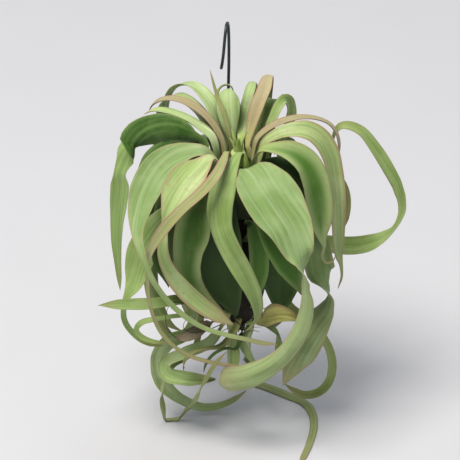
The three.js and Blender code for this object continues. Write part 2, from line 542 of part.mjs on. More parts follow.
    looks: [[0.15, [-0.1, 0.65, 0.75]], [0.4, [-0.1, 0.5, 0.85]], [0.5, [1, 0.2, 0.2]],
      [0.58, [0.5, -0.2, -0.9]], [1, [0.3, 0, -0.95]]],
    path: [[22.9, 43.2, -9.4, 6.3], [29.2, 42.3, -12, 10.8], [33.3, 37.4, -13.6, 13.1],
      [35.3, 31.1, -14.4, 13.5], [36.9, 24.8, -14.8, 13.5], [39.4, 18.4, -15, 10.8],
      [41.4, 13.1, -15, 6.3], [39.6, 6.8, -15, 9.9], [35.1, 0, -15, 14.8],
      [30.2, -7.7, -14.6, 16.2], [25.7, -15.3, -14, 15.3], [22.5, -22.1, -13.4, 12.2],
      [20.5, -27.9, -13, 6.3]],
  },
  {
    name: "leaf_lower_right_curl", material: GREEN_OLIVE, seat: [-8, 36], seatWidth: 4, steps: 14,
    looks: [[0.15, [0, 0.4, 0.9]], [0.5, [0.2, 0.1, 0.95]], [1, [0, 0.4, 0.9]]],
    path: [[22.1, 9.9, -4, 4], [28.8, 3.6, -6.4, 4], [34.6, -0.9, -6.4, 4], [39.1, -6.8, -5, 4],
      [42.1, -13.5, -3, 4], [43, -20.7, -1, 4], [41.2, -27.4, 1, 4], [36.5, -31.9, 2.4, 4],
      [30.6, -32.9, 3, 3.8], [25.2, -30.6, 2.6, 3.4], [21.2, -27.4, 2, 1.8]],
  },
  {
    name: "leaf_trailing", material: GREEN_OLIVE, seat: [60, 14], seatWidth: 4, steps: 24,
      flattened: true,
    looks: [[0.25, [-0.5, 0.6, 0.6]], [0.42, [0, 0.87, 0.5]], [1, [0, 0.87, 0.5]]],
    path: [[7, 4, 17, 4], [5, -9, 24, 4.5], [5, -20.9, 27.5, 5], onFloor(9, 25.5, 5.2),
      onFloor(16, 21, 5.6), onFloor(23.5, 15, 5.4), onFloor(30.5, 9, 4.8), onFloor(34, 0.5, 4),
      onFloor(34.7, -11.5, 3.6), onFloor(32.4, -27, 3.4), onFloor(29.3, -39, 3),
      onFloor(27.5, -44.5, 1.6)],
    channels: [[0, 0.12], [0.25, 0.12], [0.38, 0], [1, 0]],
  },
  {
    name: "leaf_olive_sheath", material: SHEATH, seat: [-56, 15], seatWidth: 4,
    looks: [[0.2, [0.3, 0.5, 0.8]], [0.5, [0, 0.5, 0.85]], [1, [0, 0.3, 0.95]]],
    path: [[9.5, 1.8, -17, 4.5], [13.1, 3.1, -21, 9.9], [17.6, 4.3, -24, 12.6],
      [22.1, 4, -26, 12.2], [25.7, 2.7, -27, 9], [27.9, 1.4, -27.4, 3.6]],
    channels: [[0, 0.12], [0.4, 0.3], [1, 0.3]],
  },
  {
    name: "leaf_under_right", material: MID, seat: [-24, 9], rise: -3,
    path: [[17.1, -2.7, -7, 4], [18.9, -8.1, -6, 4], [18.4, -14, -5, 4], [17.1, -19.8, -4.6, 1.8]],
  },
  {
    name: "leaf_under_center", material: PALE, seat: [-50, 6], seatWidth: 3.4, rise: -3,
    path: [[3.1, -8.6, -9, 5], [5.4, -14, -10, 5.4], [8.6, -19.4, -9, 5], [12.6, -25.2, -7, 2.2]],
  },
  {
    name: "leaf_under_left", material: PALE, seat: [-108, 6], seatWidth: 3.4, rise: -3,
    path: [[-2.2, -8.1, -9, 5], [-2.2, -13.1, -10, 5.9], [-2, -18.4, -9.5, 5.4],
      [-1.6, -24.3, -8, 2.2]],
  },
  // lower left
  {
    name: "leaf_left_pointing", material: MID, seat: [196, 34],
    looks: [[0.3, [0, 0.5, 0.8]], [1, [0, 0.4, 0.9]]],
    path: [[-20.2, 13.1, -9, 5.4], [-29.7, 10.8, -14, 5.9], [-39.6, 9.5, -17, 5.9],
      [-49.5, 9.2, -18, 5.2], [-57.6, 9, -17.4, 4.3], [-63, 8.8, -17, 2.2]],
  },
  {
    name: "leaf_left_hanging", material: MID, seat: [176, 52], steps: 20,
    looks: [[0.2, [-0.2, 0.6, 0.7]], [0.4, [-0.3, 0.1, 0.9]], [1, [-0.3, 0.1, 0.95]]],
    path: [[-20, 54.9, -1, 6.8], [-29.7, 50.4, -4.6, 10.3], [-37.6, 42.3, -7, 13.5],
      [-42.5, 33.8, -8.6, 14], [-44.8, 25.7, -9.6, 12.6], [-47, 18.4, -10.6, 8.6],
      [-50, 12.6, -12, 3.8], [-51.5, 7.2, -13.2, 2.7], [-51.1, 1.8, -13, 2.7],
      [-48.1, -3.1, -13, 2.7], [-43.6, -7, -13, 2.7], [-38.7, -9, -12.6, 2.5],
      [-33.8, -9.9, -12, 1.4]],
  },
  {
    name: "leaf_left_shaded", material: SHADE, seat: [202, 56],
    looks: [[0.2, [-0.2, 0.3, 0.9]], [1, [-0.1, 0, 1]]],
    path: [[-15.3, 55.8, -9, 5.9], [-22.1, 51.3, -12, 9.5], [-28.4, 43.6, -15.6, 11.7],
      [-31.9, 35.1, -17, 12.6], [-32.9, 27.4, -17.4, 9.9], [-31.9, 21.2, -17.4, 5.4],
      [-31.1, 16.7, -17.4, 2]],
  },
  {
    name: "leaf_left_small_loop", material: MID, seat: [222, 30], seatWidth: 3,
    looks: [[0.3, [0, 0.7, 0.7]], [0.6, [-0.6, 0.3, 0.8]], [1, [0, 0.6, 0.8]]],
    path: [[-20, 6.1, -15, 2.7], [-31.1, 3.6, -19, 2.7], [-38, 2.5, -21, 2.7],
      [-43.4, 1.1, -21, 2.7], [-45.9, -2, -21, 2.5], [-43.4, -5.4, -21, 2.5],
      [-38, -7.7, -21, 2.2], [-31.1, -8.1, -20, 1.4]],
  },
  {
    name: "leaf_lower_left_band", material: PALE, seat: [188, 18], steps: 17,
    looks: [[0.3, [-0.3, 0.3, 0.9]], [0.6, [-0.2, 0.4, 0.9]], [1, [0, 0.5, 0.8]]],
    path: [[-22.1, -3.6, -5, 5.9], [-31.1, -8.1, -8, 7], [-35.8, -14.2, -9, 7.2],
      [-36.2, -21.2, -8, 7.2], [-33.5, -27.9, -6, 6.8], [-28.4, -33.1, -4, 5.9],
      [-22.1, -36.9, -1, 5], [-15.8, -38.7, 1, 4], [-8.1, -37.8, 2, 3.6], [-0.9, -34.6, 3, 3.1],
      [4, -30.8, 3, 1.8]],
  },
  {
    name: "leaf_lower_left_trough", material: PALE, seat: [246, 14], seatWidth: 4, rise: -3,
    looks: [[0.4, [-0.3, 0.3, 0.9]], [1, [0, 0.5, 0.8]]],
    path: [[-13.1, -8.1, -14, 5], [-23.9, -13.1, -16, 5.9], [-33.1, -17.6, -18, 5.9],
      [-32.4, -22.3, -20, 6.8], [-24.3, -24.8, -21, 7.7], [-15.8, -25.4, -20.4, 7],
      [-10.3, -25.2, -19, 5]],
    channels: [[0, 0.12], [0.5, 0.26], [1, 0.3]],
  },
  {
    name: "leaf_lower_left_loop", material: GREEN_OLIVE, seat: [205, 21], seatWidth: 3, steps: 24,
      flattened: true,
    looks: [[0.2, [0, 0.5, 0.8]], [0.4, [-0.5, 0.4, 0.8]], [0.5, [0, 0.87, 0.5]],
      [0.7, [0.4, 0.4, 0.8]], [1, [0.4, 0.4, 0.8]]],
    path: [[-20.2, -12.2, -9.2, 2.7], [-30.2, -19.8, -13.5, 2.7], [-34.4, -29.9, -13, 2.7],
      [-34.4, -36.5, -9.5, 2.5], onFloor(-32.6, -6.5, 2.4), onFloor(-28.2, -6, 2.4),
      [-24.3, -40.5, -8.6, 2.2], [-20, -35.1, -18, 2.2], [-16.7, -28.8, -29.4, 2.2],
      [-12.6, -20.9, -33, 2.2], [-9.5, -16.4, -33.4, 1.8], [-5, -11.7, -33.4, 1.1]],
  },
  {
    name: "leaf_lower_left_short", material: OLIVE, seat: [270, 10], seatWidth: 3, rise: -3,
    path: [[-7, -9, -15, 3.6], [-14, -10.6, -20, 3.6], [-20, -11.9, -24, 3.6],
      [-24.1, -16, -26, 3.1], [-24.5, -20.7, -26.4, 1.4]],
  },
  {
    name: "leaf_lower_thin_arc", material: SHADE, seat: [283, 5], seatWidth: 3, rise: -3,
      steps: 12,
    looks: [[0.3, [0, 0.7, 0.7]], [1, [-0.3, 0.6, 0.7]]],
    path: [[0.9, -7.2, -13, 2.2], [-0.9, -11, -17, 2], [-5.4, -10.6, -21, 2],
      [-10.8, -13.1, -23, 1.9], [-14.4, -17.6, -23.4, 1.8], [-15.5, -21.6, -23, 1.1]],
  },
  {
    name: "sheath_dry_left", material: DRY, seat: [216, 5], seatWidth: 4, rise: 1,
    looks: [[0.5, [0, 0.5, 0.8]], [1, [0, 0.3, 0.9]]],
    path: [[-15.8, -1.4, -11, 5.4], [-20.2, -4, -16, 7.2], [-24.8, -5.9, -20, 6.8],
      [-29.2, -5.6, -22, 2.2]],
  },
];

// ---------------------------------------------------------------- stem, heart and wire

function latheGeometry(outline, sides) {
  const profile = outline.map(([radius, height]) => new THREE.Vector2(radius, height));
  const geometry = new THREE.LatheGeometry(profile, sides);
  geometry.rotateX(Math.PI / 2);
  return geometry;
}

// A closed mesh as a solid that can be joined or cut, and back.
function asSolid(geometry) {
  const bare = geometry.clone();
  bare.deleteAttribute("normal");
  bare.deleteAttribute("uv");
  const merged = mergeVertices(bare, 1e-4);
  const mesh = new wasm.Mesh({
    numProp: 3,
    vertProperties: new Float32Array(merged.attributes.position.array),
    triVerts: new Uint32Array(merged.index.array),
  });
  return new wasm.Manifold(mesh);
}

function asGeometry(solid) {
  const { vertProperties, triVerts } = solid.getMesh();
  return solidGeometry(Array.from(vertProperties), Array.from(triVerts));
}

// One of the heart's own young leaves, counted from the outermost.
function youngGeometry(index) {
  const turn = index * YOUNG_TURN;
  const length = YOUNG_LENGTH * (1 - YOUNG_SHRINK * index);
  const curve = new THREE.CatmullRomCurve3([
    around(YOUNG_ROOT_RADIUS, turn, HEART_TOP_Z - YOUNG_ROOT_DEPTH),
    around(YOUNG_MIDDLE_RADIUS, turn, HEART_TOP_Z + length * YOUNG_WIDTHS[1][0]),
    around(YOUNG_TIP_RADIUS + length * YOUNG_TIP_LEAN, turn, HEART_TOP_Z + length),
  ]);
  const frames = leafFrames({}, curve, YOUNG_STEPS);
  return bladeGeometry(frames, YOUNG_WIDTHS, LEAF_THICKNESS, [[0, ROOT_CHANNEL]]);
}

// The heart: a cone of sheaths that sits on the stem, with its youngest leaves fused to it.
function heartGeometry() {
  const cone = STEM_OUTLINE.filter(([, height]) => height > HEART_Z);
  const outline = [[0, HEART_Z], [stemRadius(HEART_Z), HEART_Z], ...cone];
  let heart = asSolid(latheGeometry(outline, STEM_SIDES));
  for (let i = 0; i < YOUNG_LEAVES; i += 1) {
    heart = heart.add(asSolid(youngGeometry(i)));
  }
  return asGeometry(heart);
}

// The stem below the heart, with a flat top that the heart sits on.
function stemGeometry() {
  const top = HEART_Z - SEAT_GAP;
  const lower = STEM_OUTLINE.filter(([, height]) => height < top);
  return latheGeometry([...lower, [stemRadius(top), top], [0, top]], STEM_SIDES);
}

// The wire hanger: up the back of the stem, clear of the leaves, and over in a narrow hook.
function wireGeometry() {
  const route = new THREE.CatmullRomCurve3(WIRE_ROUTE.map((p) => new THREE.Vector3(...p)));
  const section = new THREE.Shape();
  for (let i = 0; i < WIRE_SIDES; i += 1) {
    const angle = (2 * Math.PI * i) / WIRE_SIDES;
    const [x, y] = [WIRE_RADIUS * Math.cos(angle), WIRE_RADIUS * Math.sin(angle)];
    if (i === 0) {
      section.moveTo(x, y);
    } else {
      section.lineTo(x, y);
    }
  }
  section.closePath();
  return new THREE.ExtrudeGeometry(section, {
    extrudePath: route, steps: WIRE_STEPS, bevelEnabled: false,
  });
}

// ---------------------------------------------------------------- leaves of the hidden back

// A seeded row of even numbers between 0 and 1.
function seeded(seed) {
  let state = seed;
  return () => {
    state = (state * 1664525 + 1013904223) % 4294967296;
    return state / 4294967296;
  };
}

// The leaves that the front view hides fill the back of the rosette by one rule: tier by tier
// round the stem, up from the root, over the ring and down, with the tip curling in.
function rearLeaf(tier, azimuth, index, draw) {
  const vary = (span) => (draw() - 0.5) * span;
  const reach = tier.reach + vary(BACK_VARIES.reach);
  const drift = vary(BACK_VARIES.drift);
  const end = tier.end + vary(BACK_VARIES.end);
  const widest = BACK_WIDTH + draw() * BACK_VARIES.width;
  const { out, up, share: startShare } = BACK_START;
  const start = around(stemRadius(tier.seat) + out, azimuth, tier.seat + up);
  const way = BACK_WAY.map(([share, topShare, endShare, rise, driftShare, widthShare]) => {
    const height = tier.top * topShare + end * endShare + rise;
    const point = around(reach * share, azimuth + drift * driftShare, height);
    return toView(point, widest * widthShare);
  });
  return {
    name: `leaf_rear_${index + 1}`,
    material: [MID, DEEP, PALE][index % 3],
    seat: [azimuth, tier.seat],
    path: [toView(start, widest * startShare), ...way],
  };
}

const draw = seeded(BACK_SEED);
const rearLeaves = [];
BACK_TIERS.forEach((tier) => {
  tier.azimuths.forEach((azimuth) => {
    rearLeaves.push(rearLeaf(tier, azimuth, rearLeaves.length, draw));
  });
});

// ---------------------------------------------------------------- the plant

const group = new THREE.Group();

function addMesh(name, geometry, material) {
  const mesh = new THREE.Mesh(geometry, material);
  mesh.name = name;
  group.add(mesh);
}

// What the resting plant flattens off a blade that lies on the surface.
function floorGeometry() {
  const floor = new THREE.BoxGeometry(FLOOR_SIZE, FLOOR_SIZE, FLOOR_DEPTH);
  floor.translate(0, 0, FLOOR_Z - FLOOR_DEPTH / 2);
  return floor;
}

addMesh("stem", stemGeometry(), BARK);
addMesh("heart", heartGeometry(), HEART);
addMesh("wire_hanger", wireGeometry(), WIRE);
[...LEAVES, ...rearLeaves].forEach((leaf) => {
  const blade = leafGeometry(leaf);
  const geometry = leaf.flattened
    ? asGeometry(asSolid(blade).subtract(asSolid(floorGeometry())))
    : blade;
  addMesh(leaf.name, geometry, leaf.material);
});

// The origin goes to the middle of the plant's foot.
const box = new THREE.Box3().setFromObject(group);
const middle = box.getCenter(new THREE.Vector3());
group.children.forEach((mesh) => {
  mesh.position.set(-middle.x, -middle.y, -FLOOR_Z);
});

export default group;
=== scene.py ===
"""Dresses a curly-leaved air plant: fine ribbon leaves, their heart, the stem with its dead
roots, and a wire hanger.

Every leaf follows the same centre line as its solid in the frame. Sizes below are millimetres,
measured from the stem's foot, and turn into metres in the frame when a piece is made.
"""

import math
import random
from collections import namedtuple

import bmesh
import bpy
from bpy.props import FloatProperty, FloatVectorProperty, IntProperty, PointerProperty
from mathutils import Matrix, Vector, noise


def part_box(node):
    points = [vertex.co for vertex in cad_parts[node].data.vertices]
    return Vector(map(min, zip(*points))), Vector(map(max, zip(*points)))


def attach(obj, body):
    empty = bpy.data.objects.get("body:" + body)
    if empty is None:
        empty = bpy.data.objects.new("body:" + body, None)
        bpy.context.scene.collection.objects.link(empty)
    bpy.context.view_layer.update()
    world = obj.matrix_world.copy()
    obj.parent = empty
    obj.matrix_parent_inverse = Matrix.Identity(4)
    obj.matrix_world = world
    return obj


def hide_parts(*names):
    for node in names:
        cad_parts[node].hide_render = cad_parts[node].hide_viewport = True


bl_info = {
    "name": "Air Plant",
    "version": (1, 0, 0),
    "blender": (4, 5, 0),
    "location": "3D View > Sidebar > Air Plant",
    "description": "Grows a curly-leaved air plant on its packed frame",
    "category": "Add Mesh",
}

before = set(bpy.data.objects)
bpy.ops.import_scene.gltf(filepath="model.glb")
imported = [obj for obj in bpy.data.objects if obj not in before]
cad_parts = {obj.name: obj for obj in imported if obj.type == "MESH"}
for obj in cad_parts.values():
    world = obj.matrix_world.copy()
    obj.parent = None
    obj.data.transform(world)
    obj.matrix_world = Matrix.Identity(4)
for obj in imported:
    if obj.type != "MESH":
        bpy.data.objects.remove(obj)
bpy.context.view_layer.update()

MM = 0.001
STEM_LOW, STEM_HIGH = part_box("stem")
STEM_FOOT = Vector(((STEM_LOW.x + STEM_HIGH.x) / 2, (STEM_LOW.y + STEM_HIGH.y) / 2, STEM_LOW.z))

# ---------------------------------------------------------------- sizes, as in the solids

VIEW_TILT = math.radians(30)  # the front view in which the leaves are drawn looks down by this
FLOOR_Z = -48
FLOOR_SINK = 0.1  # how far a blade on the surface is drawn below it

# Leaves: the gap at their seats, their thickness and channels, and the steps of their solids.
SEAT_GAP = 0.35
LEAF_THICKNESS = 0.8
CHANNEL_DEPTH = 0.16
ROOT_CHANNEL = 0.12
CHANNELS = [[0, ROOT_CHANNEL], [0.2, CHANNEL_DEPTH], [1, CHANNEL_DEPTH]]
STEP_LENGTH = 9
LEAST_STEPS = 9
MOST_STEPS = 17
# A leaf arches over a ring round the stem: the ring's radius and height.
ARCH_RADIUS = 25
ARCH_Z = 60
# A root's width, and how far it rises and leans out from its seat.
ROOT_WIDTH = 5
ROOT_RISE = 5
ROOT_LEAN = 2

# The finer blades: their fewest rows, how the tip and the root close, and where they ripple.
LEAST_ROWS = 24
TIP_LENGTH = 4
TIP_POWER = 0.6
ROOT_CLOSING = 0.6
RIPPLE_START = 0.25
RIPPLE_HALF_WIDTH = 5
LOW_BAND = 4  # within this of the surface, a flattened blade is held up by its lowest margin

# The stem's and the heart's outline of [radius, height], with their sides and bumps.
STEM_OUTLINE = [
    [0, 0], [3.2, 0], [6.5, 4], [10.5, 12], [12.8, 22], [13.2, 32], [12.2, 44],
    [10.2, 56], [8.4, 66], [6.6, 76], [5, 84], [3, 90], [0, 91],
]
STEM_SIDES = 60
STEM_BUMPS = 0.3
HEART_Z = 60
HEART_TOP_Z = 90
HEART_SIDES = 48
HEART_BUMPS = 0.15
LEAST_RADIUS = 0.4
BUMPS_ACROSS = 0.5  # bumps in a millimetre round the stem
BUMPS_UP = 0.12  # bumps in a millimetre up the stem

# The heart's young leaves: how they turn, shrink, stand and widen, and where on a blade's length
# their colours are read.
YOUNG_LEAVES = 5
YOUNG_TURN = 137.5
YOUNG_LENGTH = 11
YOUNG_SHRINK = 0.08
YOUNG_ROOT_DEPTH = 5
YOUNG_ROOT_RADIUS = 1.6
YOUNG_MIDDLE_RADIUS = 1.9
YOUNG_TIP_RADIUS = 3
YOUNG_TIP_LEAN = 0.12
YOUNG_WIDTHS = [[0, 2.4], [0.4, 2.8], [1, 1]]
YOUNG_ROWS = 20
YOUNG_BLUNTNESS = 5
YOUNG_COLOURS_FROM = 0.3
YOUNG_COLOURS_SPAN = 0.4

# Round things: the distance of their rows, and the points round a section with the seam.
ROUND_SPACING = 1.2
LEAST_ROUND_ROWS = 8
ROUND_COLUMNS = 17

# Fine dead roots round the stem's foot: their number and size, how high they grow and how far
# they reach, turn, go outwards and fall.
DEAD_ROOT_SEED = 11
DEAD_ROOTS = 40
DEAD_ROOT_RADIUS = 0.24
DEAD_ROOT_TAPER = 0.6
DEAD_ROOT_COLUMNS = 7
DEAD_ROOT_HEIGHTS = (0.5, 11)
DEAD_ROOT_REACH = (3, 9)
DEAD_ROOT_TURN = 70
DEAD_ROOT_SINK = 0.3
DEAD_ROOT_OUT = 0.6
DEAD_ROOT_FALL = 0.7
DEAD_ROOT_SHARES = (0, 0.35, 0.7, 1)
# Dead threads that curl at the lower left, in the front view.
DEAD_THREADS = [
    [[-6.5, 4.5, -7], [-14.9, 3.2, -20], [-23.4, 9.5, -27], [-29.7, 10.2, -30],
     [-32.4, 4, -31], [-30.9, -2.7, -30], [-25.7, -7.2, -27]],
    [[-5.5, 1, -7], [-13, -2, -18], [-20.5, -3.5, -24], [-24.5, -1, -27], [-23, 2.5, -28],
     [-19, 1.5, -28]],
]

# The wire hanger, from the stem to the end of its hook.
WIRE_RADIUS = 0.7
WIRE_ROUTE = [
    [-1.4, 13.6, 40], [-2.4, 21, 52], [-3.4, 29, 70], [-4.3, 33, 88], [-4.3, 34, 104],
    [-4.1, 34, 118], [-4.2, 33.5, 132], [-4.6, 30.5, 138.4], [-5.2, 26, 139.6],
    [-5.9, 22.4, 135], [-6.6, 21.4, 127], [-7.4, 22.6, 120.4], [-7.6, 25, 118.6],
]

# The leaves of the hidden back, in tiers: where they sit, how high they rise, how far they reach
# and how low they end.
BACK_SEED = 7
BACK_WIDTH = 10
BACK_TIERS = [
    dict(seat=57, top=84, reach=49, end=-22, azimuths=[58, 86, 115, 143]),
    dict(seat=46, top=68, reach=42, end=-9, azimuths=[60, 128, 152]),
    dict(seat=35, top=52, reach=35, end=3, azimuths=[42, 70, 118, 146]),
]
BACK_VARIES = dict(reach=3, drift=6, end=12, width=2.5)  # how far a draw takes each
BACK_START = dict(out=6, up=14, share=0.5)  # from the seat, with this share of the width
BACK_TONES = ("mid", "shaded_green", "pale")
# Each point's shares of the reach, the top and the end, its rise, and its shares of the drift and
# the width.
BACK_WAY = [
    [0.52, 1, 0, 0, 0.2, 0.75], [0.8, 1, 0, -5, 0.5, 1], [1, 0.54, 0.54, 0, 0.8, 0.85],
    [0.98, 0, 1, 16, 1, 0.6], [0.84, 0, 1, 3, 1.3, 0.4], [0.66, 0, 1, 0, 1.6, 0.12],
]
# The draws of the back are those of its solids: factor, step and range.
DRAW_FACTOR = 1664525
DRAW_STEP = 1013904223
DRAW_RANGE = 4294967296
SEED_SHARE = 0.61803  # turns a leaf's name into a number of its own

# The camera and the lights' target. The picture is a square.
CAMERA_DISTANCE = 2.5  # metres; far enough that near and far leaves keep one scale
SENSOR = 36  # millimetres
PIXEL = 0.45  # millimetres of the plant in one pixel
FRAME_PIXELS = 460
FRAME_CENTRE = [-3.6, 42.75, 0]  # what stands in the middle of the picture, in the front view
LIT_MIDDLE = Vector((0, 0, 0.09))  # metres


def to_view(point, width):
    """A point of the plant's own frame, as a point of the front view with the width there."""
    up = point.z * math.cos(VIEW_TILT) + point.y * math.sin(VIEW_TILT)
    return [point.x, up, point.y, width]


def on_floor(across, back, width):
    """A point of the front view where the blade lies on the surface."""
    return to_view(Vector((across, back, FLOOR_Z + LEAF_THICKNESS / 2 - FLOOR_SINK)), width)
